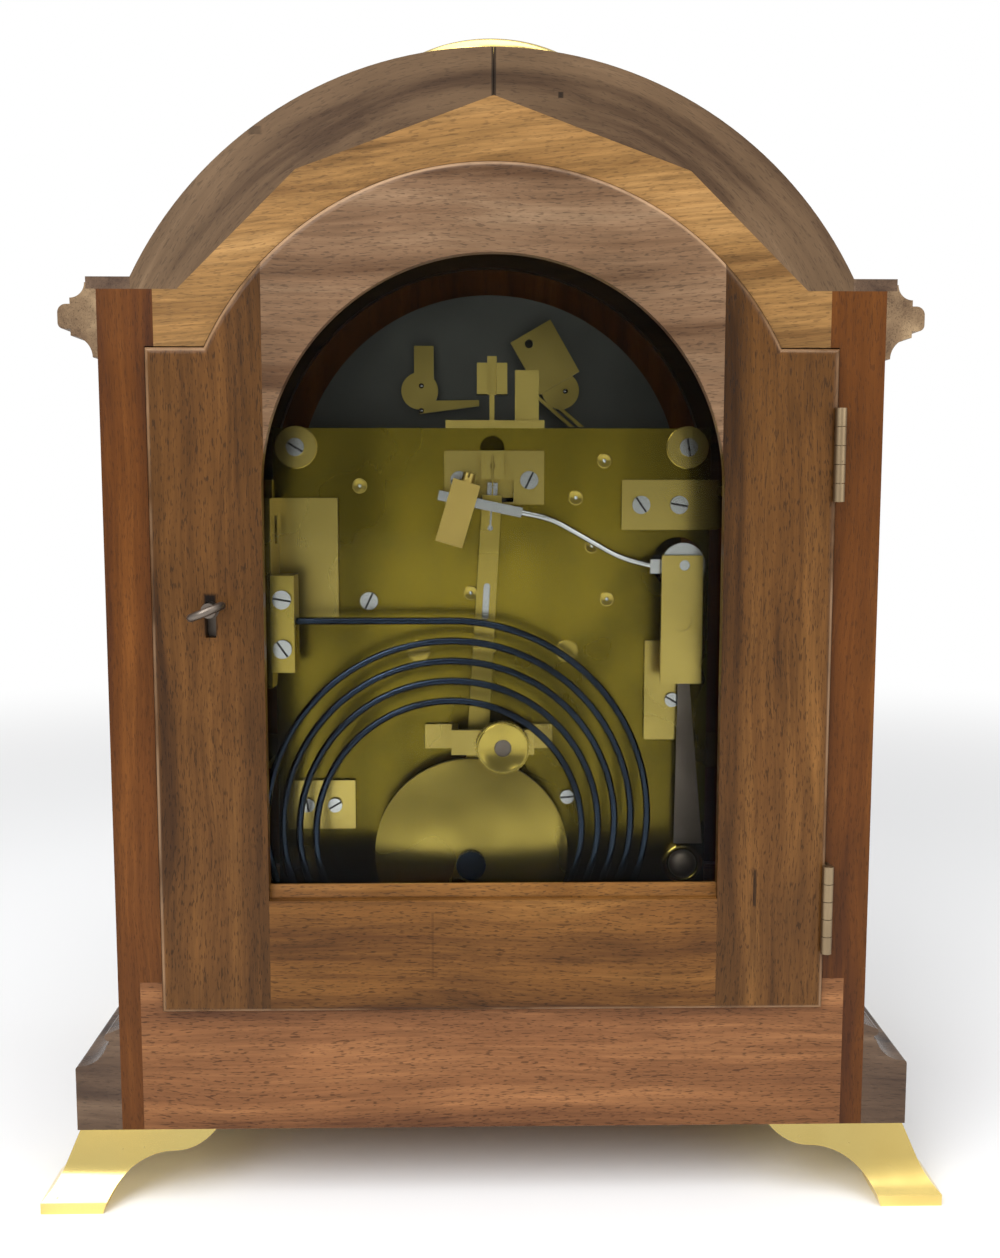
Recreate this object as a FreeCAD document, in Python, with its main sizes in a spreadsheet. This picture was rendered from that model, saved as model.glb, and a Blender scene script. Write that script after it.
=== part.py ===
"""An arched-top bracket clock with a coil gong, built piece by piece.

Millimetres. The dial faces -Y, the glazed rear door faces +Y, +Z is up and the feet stand on z = 0.
Left and right are as seen from the front, so the right side of the case is at +X.
"""
import FreeCAD, Part
import math
import os
import Sketcher

# The driving dimensions. Depths named "..._in" run forward from the rear plane of the case.
DIMENSIONS = {
    # case
    "case_width": 290.0,
    "case_depth": 170.0,
    "foot_height": 27.5,
    "side_thickness": 20.4,
    "side_height": 321.5,
    "rail_height": 59.5,
    "rail_thickness": 15.0,
    "rail_lap": 11.9,
    "floor_thickness": 12.0,
    "arch_board_thickness": 16.0,
    "roof_radius": 148.9,
    "roof_centre_height": 285.6,
    "stave_low_x": 115.7,
    "stave_mid_x": 71.8,
    "stave_mid_height": 391.6,
    "stave_top_height": 417.8,
    "mitre_gap": 0.2,
    "cap_thickness": 4.4,
    "cap_overhang": 3.7,
    # cornice, measured down from the top of the sides and out from the case
    "cornice_rise": 2.3,
    "cornice_height": 26.9,
    "cornice_out": 14.2,
    "cornice_neck": 9.6,
    "cornice_foot": 1.8,
    "cornice_fillet": 2.4,
    "cornice_soft_edge": 2.2,
    "cornice_band": 3.6,
    "cornice_shoulder": 3.2,
    "cornice_crown_step": 2.2,
    # base moulding
    "base_height": 41.0,
    "base_out": 17.5,
    "base_plinth": 24.5,
    "base_step": 1.4,
    "base_hollow_out": 5.1,
    "base_hollow_rise": 8.5,
    "base_bead_radius": 1.6,
    "base_slope": 1.8,
    "base_return": 0.8,
    # cast feet
    "foot_set_back": 1.0,
    "foot_flare": 12.3,
    "foot_reach": 53.0,
    "foot_pad": 4.4,
    "foot_web": 7.3,
    "foot_leg": 11.5,
    "foot_cove": 25.8,
    "foot_waist_out": 4.7,
    "foot_waist_height": 15.5,
    # doors
    "door_width": 254.8,
    "door_bottom": 76.2,
    "door_shoulder": 327.9,
    "door_arch_radius": 117.8,
    "arch_centre_height": 276.4,
    "door_proud": 4.0,
    "rebate_depth": 10.0,
    "door_gap": 0.6,
    "door_seat_gap": 0.3,
    "door_rounding": 2.5,
    "opening_width": 171.2,
    "opening_bottom": 120.3,
    "arch_lap": 12.0,
    "rail_joint_inset": 1.0,
    "sill_height": 5.4,
    "sill_depth": 5.0,
    "glass_thickness": 2.5,
    "glass_lap": 5.0,
    "glass_gap": 0.4,
    "glass_lip": 5.0,
    "bezel_width": 6.0,
    # hinges
    "hinge_height": 34.5,
    "hinge_low": 99.0,
    "hinge_high": 271.8,
    "knuckle_radius": 2.1,
    "hinge_pin_radius": 1.1,
    "hinge_clearance": 0.05,
    "knuckle_gap": 0.25,
    "hinge_leaf": 1.0,
    "hinge_leaf_depth": 8.0,
    "hinge_axis_proud": 1.4,
    # lock and key
    "key_x": 105.3,
    "key_height": 231.8,
    "keyhole_radius": 3.3,
    "keyhole_slot": 4.0,
    "keyhole_drop": 10.4,
    "key_standout": 15.0,
    "key_shank_radius": 1.6,
    "key_collar_radius": 2.8,
    "key_bow_radius": 6.0,
    "key_bow_wire": 1.5,
    "key_bow_tilt": 21.5,
    "key_bit": 4.6,
    "lock_width": 28.0,
    "lock_height": 40.0,
    "lock_depth": 7.0,
    "lock_wall": 1.2,
    "bolt_height": 9.0,
    "bolt_thickness": 3.0,
    "bolt_throw": 5.0,
    "bolt_clearance": 0.3,
    # carrying handle
    "handle_half": 47.0,
    "handle_reach": 33.0,
    "handle_shoulder": 18.0,
    "handle_bar_half": 38.0,
    "handle_thick": 5.0,
    "handle_thin": 2.8,
    "handle_pivot_height": 439.0,
    "handle_lean": 19.0,
    "handle_pin_radius": 2.0,
    "post_ball": 5.0,
    "post_stem": 3.6,
    "post_base": 9.0,
    "post_flange": 2.0,
    "post_vase": 3.0,
    "post_collar": 4.2,
    # movement
    "plate_in": 40.0,
    "plate_thickness": 3.2,
    "plate_width": 176.0,
    "plate_bottom": 113.5,
    "plate_top": 300.7,
    "plate_spacing": 70.0,
    "pillar_radius": 5.0,
    "pillar_x": 78.6,
    "pillar_inset_low": 8.8,
    "pillar_inset_high": 7.6,
    "collar_radius": 8.2,
    "collar_thickness": 1.6,
    "screw_radius": 3.6,
    "screw_head": 1.8,
    "screw_slot": 0.8,
    "cock_screw_inset": 6.0,
    "bracket_screw_inset": 7.7,
    "bracket_screw_span": 15.3,
    "corner_screw_inset": 8.2,
    "guard_screw_offset": 3.8,
    "guard_screw_rise": 16.5,
    "upper_screw_x": 49.9,
    "upper_screw_height": 231.4,
    "lower_screw_x": 30.8,
    "lower_screw_height": 150.3,
    "pivot_clearance": 0.05,
    # dial
    "dial_distance": 22.0,
    "dial_thickness": 2.0,
    "dial_margin": 5.0,
    "dial_foot_radius": 3.0,
    "centre_height": 212.0,
    "chapter_outer": 76.0,
    "chapter_inner": 57.0,
    "ring_thickness": 1.2,
    "arch_ring_outer": 20.0,
    "arch_ring_inner": 13.5,
    "arch_ring_x": 32.5,
    "arch_ring_height": 321.5,
    "winding_x": 30.2,
    "winding_height": 211.0,
    "winding_hole": 4.5,
    "minute_length": 66.0,
    "hour_length": 46.0,
    "hand_thickness": 1.0,
    "hand_boss": 5.0,
    "hand_width": 5.0,
    "arch_hand_length": 15.0,
    "hand_gap": 1.6,
    # train
    "arbor_radius": 2.0,
    "barrel_radius": 19.0,
    "barrel_length": 26.0,
    "wheel_thickness": 2.5,
    "great_teeth": 72.0,
    "centre_pinion_teeth": 12.0,
    "centre_teeth": 60.0,
    "third_teeth": 60.0,
    "pinion_teeth": 10.0,
    "escape_teeth": 30.0,
    "cannon_teeth": 12.0,
    "minute_teeth": 36.0,
    "minute_pinion_teeth": 12.0,
    "hour_teeth": 48.0,
    "third_x": 8.7,
    "third_height": 234.5,
    "escape_height": 254.0,
    "escape_radius": 11.5,
    "motion_distance": 18.0,
    "cannon_radius": 3.2,
    "great_in": 14.0,
    "strike_in": 22.0,
    "centre_in": 5.0,
    "third_in": 56.0,
    "escape_in": 40.0,
    "lifting_pin_circle": 21.5,
    "lifting_pin_radius": 1.2,
    "lifting_pin_length": 4.0,
    # pendulum
    "flex_height": 277.0,
    "pendulum_length": 148.0,
    "pendulum_tilt": 3.33,
    "bob_radius": 39.1,
    "bob_thickness": 12.0,
    "bob_rim": 1.6,
    "bob_in": 30.0,
    "rod_in": 32.6,
    "rod_thickness": 1.8,
    "rod_top_width": 7.6,
    "rod_low_width": 9.2,
    "rod_head": 6.0,
    "rod_tail": 16.0,
    "rod_slot_width": 2.6,
    "rod_slot_top": 38.0,
    "rod_slot_length": 15.0,
    "rod_slit_width": 0.8,
    "rod_hole_radius": 1.1,
    "rod_hole_drop": 16.0,
    "bob_screw_radius": 6.0,
    "bob_screw_height": 3.2,
    "bob_screw_drop": 2.8,
    "spring_width": 5.0,
    "spring_thickness": 0.4,
    "spring_gap": 0.5,
    "crutch_width": 4.0,
    "crutch_thickness": 1.2,
    "crutch_length": 51.0,
    "crutch_pin_radius": 0.9,
    "crutch_gap": 0.8,
    # back cock
    "cock_left": 20.7,
    "cock_right": 19.2,
    "cock_bottom": 270.3,
    "cock_top": 291.7,
    "cock_thickness": 3.0,
    "window_left": 8.5,
    "window_right": 6.8,
    "window_top": 280.2,
    "block_width": 9.0,
    "block_top": 291.5,
    "block_out": 12.0,
    "block_slit": 0.9,
    "plate_arch_radius": 4.9,
    # gong
    "gong_in": 19.0,
    "gong_wire": 1.4,
    "gong_x": 16.2,
    "gong_top": 225.3,
    "gong_radius": 77.4,
    "gong_top_pitch": 7.9,
    "gong_side_pitch": 6.5,
    "gong_turns": 5.0,
    "gong_block_x": 76.5,
    "gong_block_width": 9.0,
    "gong_block_depth": 14.0,
    "gong_block_low": 206.0,
    "gong_block_high": 243.5,
    "gong_screw_inset": 9.2,
    # brackets on the backplate
    "sheet_metal": 2.5,
    "gong_bracket_low": 225.2,
    "gong_bracket_high": 272.9,
    "gong_flange_low": 199.5,
    "gong_bracket_reach": 25.6,
    "gong_hole_in": 8.0,
    "gong_hole_depth": 6.0,
    "gong_hole_rise": 29.8,
    "gong_hole_length": 11.0,
    "left_bracket_inner": 52.0,
    "left_bracket_low": 260.2,
    "left_bracket_high": 280.2,
    "case_bracket_run": 20.0,
    "case_bracket_foot": 18.0,
    "lower_bracket_low": 150.0,
    "lower_bracket_high": 166.0,
    "guard_plate_inner": 62.0,
    "guard_plate_outer": 76.7,
    "guard_plate_low": 174.5,
    "guard_plate_high": 215.2,
    "corner_plate_inner": 56.2,
    "corner_plate_outer": 83.8,
    "corner_plate_low": 137.6,
    "corner_plate_high": 157.8,
    # holdfast
    "holdfast_x": 3.9,
    "holdfast_height": 174.6,
    "holdfast_radius": 10.7,
    "holdfast_thickness": 4.6,
    "holdfast_stem": 2.0,
    "holdfast_low": 171.0,
    "holdfast_high": 181.0,
    "holdfast_clear": 14.0,
    "holdfast_strap_in": 26.0,
    "holdfast_strap": 2.0,
    "holdfast_foot": 8.0,
    "holdfast_long_foot": 11.0,
    # gong hammer
    "hammer_x": 75.4,
    "hammer_height": 246.7,
    "hammer_in": 20.0,
    "hammer_arm_in": 28.0,
    "hammer_boss_radius": 8.7,
    "hammer_hole_radius": 10.5,
    "hammer_arm_length": 11.0,
    "hammer_arm_width": 5.6,
    "hammer_arm_offset": 2.0,
    "hammer_arm_drop": 3.4,
    "hammer_bend_length": 13.0,
    "hammer_bend_rise": 3.4,
    "hammer_tail_length": 38.0,
    "hammer_tail_depth": 3.0,
    "hammer_tail_width": 5.0,
    "hammer_bar_offset": 8.6,
    "hammer_bar_rise": 3.6,
    "hammer_boss_thickness": 3.4,
    "hammer_wire": 1.2,
    "hammer_bar": 3.8,
    "hammer_bar_length": 33.0,
    "hammer_bar_slope": 11.9,
    "head_width": 10.8,
    "head_length": 25.0,
    "head_depth": 8.0,
    "head_lean": 16.6,
    "head_x": 13.6,
    "head_height": 267.2,
    "head_screw_radius": 2.4,
    "bridge_left": 82.6,
    "bridge_right": 66.4,
    "bridge_low": 199.8,
    "bridge_high": 250.6,
    "bridge_thickness": 2.5,
    "bridge_in": 22.5,
    "bridge_post_radius": 4.0,
    "bridge_screw_height": 224.7,
    "spring_blade_top": 200.5,
    "spring_blade_bottom": 131.8,
    "spring_tip_inner": 75.2,
    "spring_tip_outer": 79.6,
    "spring_root_inner": 74.4,
    "spring_root_outer": 86.0,
    "spring_blade_in": 5.6,
    "spring_blade_thickness": 0.8,
    "spring_foot_height": 9.0,
    # levers in the arch
    "arch_bar_height": 3.2,
    "arch_bar_left": 20.9,
    "arch_bar_right": 18.7,
    "arch_bar_depth": 14.0,
    "arch_post_left": 18.8,
    "arch_post_right": 9.2,
    "arch_post_top": 324.0,
    "arch_post_thickness": 4.0,
    "cheek_outer": 6.1,
    "cheek_inner": 1.9,
    "cheek_low": 314.6,
    "cheek_high": 327.0,
    "cheek_thickness": 8.0,
    "lever_thickness": 2.0,
    "lever_disc_radius": 8.5,
    "lever_strap_width": 9.0,
    "lever_strap_top": 342.0,
    "lever_plate_width": 21.0,
    "lever_plate_length": 27.0,
    "lever_plate_lean": 30.0,
    "lever_arbor_radius": 1.6,
    "lever_in": 16.0,
    "lever_strap_in": 6.5,
    "lever_blade_width": 2.2,
    "lever_blade_step": 4.5,
    "lever_blade_drop": 16.5,
    "regulation_tip_x": 5.0,
    "regulation_tip_height": 316.0,
}

document = FreeCAD.newDocument("bracket_clock")
sheet = document.addObject("Spreadsheet::Sheet", "dims")


class Size:
    """A length worked out from the sheet: its value and the formula that gives it."""

    def __init__(self, value, formula):
        self.value = float(value)
        self.formula = formula

    def __float__(self):
        return self.value

    def __add__(self, other):
        other = as_size(other)
        return Size(self.value + other.value, f"({self.formula} + {other.formula})")

    def __sub__(self, other):
        other = as_size(other)
        return Size(self.value - other.value, f"({self.formula} - {other.formula})")

    def __mul__(self, other):
        other = as_size(other)
        return Size(self.value * other.value, f"({self.formula} * {other.formula})")

    def __truediv__(self, other):
        other = as_size(other)
        return Size(self.value / other.value, f"({self.formula} / {other.formula})")

    def __neg__(self):
        return Size(-self.value, f"(0 - {self.formula})")

    def __radd__(self, other):
        return as_size(other) + self

    def __rsub__(self, other):
        return as_size(other) - self

    def __rmul__(self, other):
        return as_size(other) * self


def as_size(number):
    """A plain number as a Size."""
    if isinstance(number, Size):
        return number
    return Size(number, f"({float(number)!r})")


def root(size):
    """The square root of a Size."""
    return Size(math.sqrt(size.value), f"sqrt({size.formula})")


def fill_sheet():
    """Write the driving dimensions into the sheet and return them as Sizes."""
    for row, (name, value) in enumerate(DIMENSIONS.items(), start=1):
        sheet.set(f"A{row}", name)
        sheet.set(f"B{row}", str(value))
        sheet.setAlias(f"B{row}", name)
    document.recompute()
    return {name: Size(sheet.get(name), f"dims.{name}") for name in DIMENSIONS}


class Dimensions:
    """The sheet's Sizes by name."""

    def __init__(self, sizes):
        self.__dict__.update(sizes)


D = Dimensions(fill_sheet())
NODES = {}
TURNS = {
    "Z": FreeCAD.Rotation(),
    "X": FreeCAD.Rotation(FreeCAD.Vector(0, 1, 0), 90),
    "Y": FreeCAD.Rotation(FreeCAD.Vector(1, 0, 0), -90),
}


def bind(item, path, size):
    """Tie one property of an object to the formula of a Size."""
    item.setExpression(path, as_size(size).formula)


def place(item, point, rotation=None):
    """Put an object at a point, each coordinate tied to its formula."""
    values = [float(as_size(value)) for value in point]
    item.Placement = FreeCAD.Placement(FreeCAD.Vector(*values), rotation or FreeCAD.Rotation())
    for letter, value in zip("xyz", point):
        bind(item, f".Placement.Base.{letter}", value)
    return item


def block(label, low, high):
    """A rectangular block between two corners."""
    item = document.addObject("Part::Box", label)
    for name, start, end in zip(("Length", "Width", "Height"), low, high):
        bind(item, name, as_size(end) - start)
    return place(item, low)


def rod(label, axis, start, length, radius):
    """A round bar from a point along an axis."""
    item = document.addObject("Part::Cylinder", label)
    bind(item, "Radius", radius)
    bind(item, "Height", length)
    return place(item, start, TURNS[axis])


def ball(label, centre, radius):
    """A sphere about a point."""
    item = document.addObject("Part::Sphere", label)
    bind(item, "Radius", radius)
    return place(item, centre)


def cone(label, axis, start, length, first, last):
    """A round taper from a point along an axis."""
    item = document.addObject("Part::Cone", label)
    bind(item, "Radius1", first)
    bind(item, "Radius2", last)
    bind(item, "Height", length)
    return place(item, start, TURNS[axis])


def fuse(label, parts):
    """Several shapes joined into one solid."""
    item = document.addObject("Part::MultiFuse", label)
    item.Shapes = parts
    item.Refine = True
    return item


def group(label, parts):
    """Several separate solids kept under one name."""
    item = document.addObject("Part::Compound", label)
    item.Links = parts
    return item


def cut(label, base, tools):
    """A shape with one or more tools taken away."""
    tool = tools[0] if len(tools) == 1 else fuse(f"{label}_tools", tools)
    item = document.addObject("Part::Cut", label)
    item.Base = base
    item.Tool = tool
    return item


def common(label, first, second):
    """What two shapes share."""
    item = document.addObject("Part::Common", label)
    item.Base = first
    item.Tool = second
    return item


def keep(node, item):
    """Hand an object over as a finished piece."""
    item.Label = node
    NODES[node] = item
    return item


def real(size):
    """The value of a Size or a plain number."""
    return float(as_size(size))


def draw_circle(sketch, circle, rules, formulas):
    """Add a circle given as ("circle", x, y, radius)."""
    name, x, y, radius = circle
    centre = FreeCAD.Vector(real(x), real(y), 0)
    index = sketch.addGeometry(Part.Circle(centre, FreeCAD.Vector(0, 0, 1), real(radius)))
    for rule, value, ends in (("DistanceX", x, (-1, 1, index, 3)),
                              ("DistanceY", y, (-1, 1, index, 3)),
                              ("Radius", radius, (index,))):
        rules.append(Sketcher.Constraint(rule, *ends, real(value)))
        formulas.append(as_size(value))


def draw_outline(sketch, outline, rules, formulas):
    """Add a closed outline. A vertex (x, y) starts a straight edge, and (x, y, centre_x, centre_y,
    turn) starts an arc about that centre, anticlockwise where turn is 1 and clockwise where -1."""
    ends = []
    for number, vertex in enumerate(outline):
        following = outline[(number + 1) % len(outline)]
        start = FreeCAD.Vector(real(vertex[0]), real(vertex[1]), 0)
        end = FreeCAD.Vector(real(following[0]), real(following[1]), 0)
        if len(vertex) == 2:
            index = sketch.addGeometry(Part.LineSegment(start, end))
            ends.append((index, 1, 2))
            continue
        centre = FreeCAD.Vector(real(vertex[2]), real(vertex[3]), 0)
        first, last = (start, end) if vertex[4] > 0 else (end, start)
        low = math.atan2(first.y - centre.y, first.x - centre.x)
        high = math.atan2(last.y - centre.y, last.x - centre.x)
        if high <= low:
            high += 2 * math.pi
        circle = Part.Circle(centre, FreeCAD.Vector(0, 0, 1), first.distanceToPoint(centre))
        index = sketch.addGeometry(Part.ArcOfCircle(circle, low, high))
        ends.append((index, 1, 2) if vertex[4] > 0 else (index, 2, 1))
        upright = abs(end.x - start.x) >= abs(end.y - start.y)
        rule = "DistanceY" if upright else "DistanceX"
        value = vertex[3] if upright else vertex[2]
        rules.append(Sketcher.Constraint(rule, -1, 1, index, 3, real(value)))
        formulas.append(as_size(value))
    for number, (index, first, last) in enumerate(ends):
        after, after_first, after_last = ends[(number + 1) % len(ends)]
        rules.append(Sketcher.Constraint("Coincident", index, last, after, after_first))
        formulas.append(None)
        for rule, value in (("DistanceX", outline[number][0]), ("DistanceY", outline[number][1])):
            rules.append(Sketcher.Constraint(rule, -1, 1, index, first, real(value)))
            formulas.append(as_size(value))


def sketch_on(body, label, plane, outlines, offset):
    """A sketch on one of the body's own origin planes, moved along its normal by offset."""
    sketch = body.newObject("Sketcher::SketchObject", label)
    support = [item for item in body.Origin.OriginFeatures if item.Role == f"{plane}_Plane"]
    sketch.AttachmentSupport = [(support[0], "")]
    sketch.MapMode = "FlatFace"
    rules = []
    formulas = []
    for outline in outlines:
        if outline[0] == "circle":
            draw_circle(sketch, outline, rules, formulas)
        else:
            draw_outline(sketch, outline, rules, formulas)
    sketch.addConstraint(rules)
    for number, formula in enumerate(formulas):
        if formula is not None and "dims." in formula.formula:
            sketch.setExpression(f"Constraints[{number}]", formula.formula)
    sketch.setExpression(".AttachmentOffset.Base.z", as_size(offset).formula)
    return sketch


def prism(label, plane, outlines, low, high, pockets=()):
    """A body padded from outlines between two planes, with pockets (plane, outlines, low, high)."""
    body = document.addObject("PartDesign::Body", label)
    start = -as_size(high) if plane == "XZ" else as_size(low)
    pad = body.newObject("PartDesign::Pad", f"{label}_pad")
    pad.Profile = sketch_on(body, f"{label}_outline", plane, outlines, start)
    bind(pad, "Length", as_size(high) - low)
    for number, (cut_plane, cut_outlines, cut_low, cut_high) in enumerate(pockets, start=1):
        end = -as_size(cut_low) if cut_plane == "XZ" else as_size(cut_high)
        pocket = body.newObject("PartDesign::Pocket", f"{label}_pocket_{number}")
        pocket.Profile = sketch_on(body, f"{label}_cut_{number}", cut_plane, cut_outlines, end)
        bind(pocket, "Length", as_size(cut_high) - cut_low)
    return body


def rectangle(x_low, y_low, x_high, y_high):
    """The outline of a rectangle."""
    return [(x_low, y_low), (x_high, y_low), (x_high, y_high), (x_low, y_high)]


def shaped(label, shape, placement=None):
    """A piece whose shape is worked out from the sheet by a formula."""
    item = document.addObject("Part::Feature", label)
    item.Shape = shape
    item.Placement = placement or FreeCAD.Placement()
    return item


# Reference planes and lines that several pieces share.
half_width = D.case_width / 2
inner_x = half_width - D.side_thickness
front_reach = D.base_out - D.foot_set_back + D.foot_flare
rear_reach = D.door_proud + D.key_standout
back_y = (D.case_depth + front_reach - rear_reach) / 2
front_y = back_y - D.case_depth
middle_y = back_y - D.case_depth / 2
case_bottom = D.foot_height
shoulder_top = case_bottom + D.side_height
cap_top = shoulder_top + D.cap_thickness
rail_top = case_bottom + D.rail_height
door_half = D.door_width / 2
opening_half = D.opening_width / 2
opening_radius = opening_half
door_hole = door_half + D.door_gap
plate_rear = back_y - D.plate_in
plate_front = plate_rear - D.plate_thickness
front_plate_rear = plate_front - D.plate_spacing
front_plate_front = front_plate_rear - D.plate_thickness
dial_back = front_plate_front - D.dial_distance
dial_front = dial_back - D.dial_thickness
plate_half = D.plate_width / 2


def mirrored(outline):
    """The same outline on the other side of x = 0, run the same way round."""
    flipped = []
    for number in range(len(outline)):
        vertex = outline[-number % len(outline)]
        before = outline[(-number - 1) % len(outline)]
        if len(before) == 5:
            flipped.append((-as_size(vertex[0]), vertex[1], -as_size(before[2]), before[3], before[4]))
        else:
            flipped.append((-as_size(vertex[0]), vertex[1]))
    return flipped


def for_side(side, outline):
    """An outline drawn for the right side, or its mirror image for the left."""
    return outline if side == "right" else mirrored(outline)


# ---------------------------------------------------------------- the case

def rebate_steps(rear):
    """The two depths between which the door's rebate is cut, at the rear or at the front."""
    if rear:
        return back_y - D.rebate_depth, back_y
    return front_y, front_y + D.rebate_depth


def side_board(side):
    """A side of the case, rebated for the rails and the doors, and mortised for the lock bolt."""
    outline = for_side(side, rectangle(inner_x, case_bottom, half_width, shoulder_top))
    pockets = []
    for rear in (True, False):
        low, high = rebate_steps(rear)
        door = rectangle(inner_x, rail_top, door_hole, D.door_shoulder + D.door_gap)
        pockets.append(("XZ", [for_side(side, door)], low, high))
        rail_low = back_y - D.rail_thickness if rear else front_y
        rail_high = back_y if rear else front_y + D.rail_thickness
        rail = rectangle(inner_x, case_bottom, inner_x + D.rail_lap, rail_top)
        pockets.append(("XZ", [for_side(side, rail)], rail_low, rail_high))
    board = prism(f"side_{side}", "XZ", [outline], front_y, back_y, pockets)
    if side == "left":
        return keep("case_side_left", board)
    clear = D.bolt_clearance
    mortise = block("bolt_mortise",
                    (door_hole - 1, bolt_rear - D.bolt_thickness - clear, bolt_low - clear),
                    (door_hole + D.bolt_throw + 1, bolt_rear + clear, bolt_low + D.bolt_height + clear))
    return keep("case_side_right", cut("side_right_mortised", board, [mortise]))


def rail(rear):
    """The bottom rail of the case, let into the sides and rebated for the door."""
    name = "rear_rail" if rear else "front_rail"
    low = back_y - D.rail_thickness if rear else front_y
    high = back_y if rear else front_y + D.rail_thickness
    reach = inner_x + D.rail_lap
    step_low, step_high = rebate_steps(rear)
    step = rectangle(-door_hole, D.door_bottom - D.door_gap, door_hole, rail_top)
    outline = rectangle(-reach, case_bottom, reach, rail_top)
    return prism(name, "XZ", [outline], low, high, [("XZ", [step], step_low, step_high)])


def floor_board():
    """The floor of the case."""
    keep("floor_board", block(
        "floor_board",
        (-inner_x, front_y + D.rail_thickness, case_bottom),
        (inner_x, back_y - D.rail_thickness, case_bottom + D.floor_thickness)))


def door_outline(margin):
    """The outline of a door, grown by a margin at the shoulders and round the arch."""
    radius = D.door_arch_radius + margin
    rise = D.door_shoulder + margin - D.arch_centre_height
    shoulder_x = root(radius * radius - rise * rise)
    half = door_half + margin
    top = D.door_shoulder + margin
    bottom = D.door_bottom - margin
    return [(-half, bottom), (half, bottom), (half, top),
            (shoulder_x, top, 0, D.arch_centre_height, 1), (-shoulder_x, top), (-half, top)]


def opening_outline(margin):
    """The round-headed opening of a door, grown by a margin."""
    half = opening_half + margin
    bottom = D.opening_bottom - margin
    return [(-half, bottom), (half, bottom),
            (half, D.arch_centre_height, 0, D.arch_centre_height, 1), (-half, D.arch_centre_height)]


def arch_board(rear):
    """The board that fills the arch over a door, rebated for the door's arched head."""
    name = "rear_arch_board" if rear else "front_arch_board"
    low = back_y - D.arch_board_thickness if rear else front_y
    high = back_y if rear else front_y + D.arch_board_thickness
    hole = D.door_arch_radius - D.arch_lap
    centre = D.arch_centre_height
    outline = [(-inner_x, centre), (-hole, centre, 0, centre, -1), (hole, centre), (inner_x, centre),
               (inner_x, shoulder_top), (D.stave_low_x, shoulder_top),
               (D.stave_mid_x, D.stave_mid_height), (0, D.stave_top_height),
               (-D.stave_mid_x, D.stave_mid_height), (-D.stave_low_x, shoulder_top),
               (-inner_x, shoulder_top)]
    step_low, step_high = rebate_steps(rear)
    pockets = [("XZ", [door_outline(D.door_gap)], step_low, step_high)]
    keep(name, prism(name, "XZ", [outline], low, high, pockets))


def roof_half(side):
    """Half of the thick coopered roof, mitred at the crown."""
    rise = cap_top - D.roof_centre_height
    spring_x = root(D.roof_radius * D.roof_radius - rise * rise)
    gap = D.mitre_gap / 2
    crown = D.roof_centre_height + root(D.roof_radius * D.roof_radius - gap * gap)
    slope = (D.stave_top_height - D.stave_mid_height) / D.stave_mid_x
    inner_crown = D.stave_top_height - slope * gap
    outline = [(D.stave_low_x, shoulder_top), (spring_x, shoulder_top),
               (spring_x, cap_top, 0, D.roof_centre_height, 1), (gap, crown),
               (gap, inner_crown), (D.stave_mid_x, D.stave_mid_height)]
    name = f"roof_half_{side}"
    keep(name, prism(name, "XZ", [for_side(side, outline)], front_y, back_y))


def shoulder_caps():
    """The flat boards on the shoulders, beside the roof."""
    rise = cap_top - D.roof_centre_height
    spring_x = root(D.roof_radius * D.roof_radius - rise * rise)
    caps = []
    for side in ("left", "right"):
        outline = rectangle(spring_x, shoulder_top, half_width + D.cap_overhang, cap_top)
        caps.append(prism(f"cap_{side}", "XZ", [for_side(side, outline)],
                          front_y - D.cap_overhang, back_y))
    keep("shoulder_caps", group("shoulder_caps", caps))


def cornice_profile(face, out):
    """The cornice's section, from the case face outwards: hollow, neck, rounded band, crown."""
    top = shoulder_top + D.cornice_rise
    bottom = top - D.cornice_height
    neck = D.cornice_neck
    hollow = neck - D.cornice_foot
    band_low = bottom + hollow + D.cornice_fillet
    band_top = band_low + D.cornice_soft_edge + D.cornice_band + D.cornice_shoulder
    nose = D.cornice_out
    soft = nose - D.cornice_soft_edge
    upper = nose - D.cornice_shoulder
    crown = top - band_top - D.cornice_crown_step
    return [(face, bottom),
            (face + out * D.cornice_foot, bottom, face + out * neck, bottom, -out),
            (face + out * neck, bottom + hollow), (face + out * neck, band_low),
            (face + out * soft, band_low, face + out * soft, band_low + D.cornice_soft_edge, out),
            (face + out * nose, band_low + D.cornice_soft_edge),
            (face + out * nose, band_top - D.cornice_shoulder,
             face + out * upper, band_top - D.cornice_shoulder, out),
            (face + out * upper, band_top), (face + out * neck, band_top),
            (face + out * neck, top - crown, face + out * neck, top, -out),
            (face + out * (neck - crown), top), (face + out * D.cap_overhang, top),
            (face + out * D.cap_overhang, shoulder_top), (face, shoulder_top)]


def base_profile(face, out):
    """The base moulding's section: plinth, rounded step, hollow, bead and sloping top."""
    top = case_bottom + D.base_height
    plinth = case_bottom + D.base_plinth
    rise = D.base_hollow_rise
    foot_out = D.base_out - D.base_step
    reach = foot_out - D.base_hollow_out
    step_top = plinth + D.base_step
    hollow_top = step_top + rise
    bend = (reach * reach + rise * rise) / (2 * rise)
    neck = D.base_hollow_out - D.base_return
    bead_top = top - D.base_slope
    bead = bead_top - D.base_bead_radius
    bead_low = bead - D.base_bead_radius
    return [(face, case_bottom), (face + out * D.base_out, case_bottom),
            (face + out * D.base_out, plinth, face + out * foot_out, plinth, out),
            (face + out * foot_out, step_top, face + out * foot_out, step_top + bend, -out),
            (face + out * D.base_hollow_out, hollow_top), (face + out * neck, hollow_top),
            (face + out * neck, bead_low, face + out * neck, bead, out),
            (face + out * neck, bead_top), (face, top)]


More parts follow.
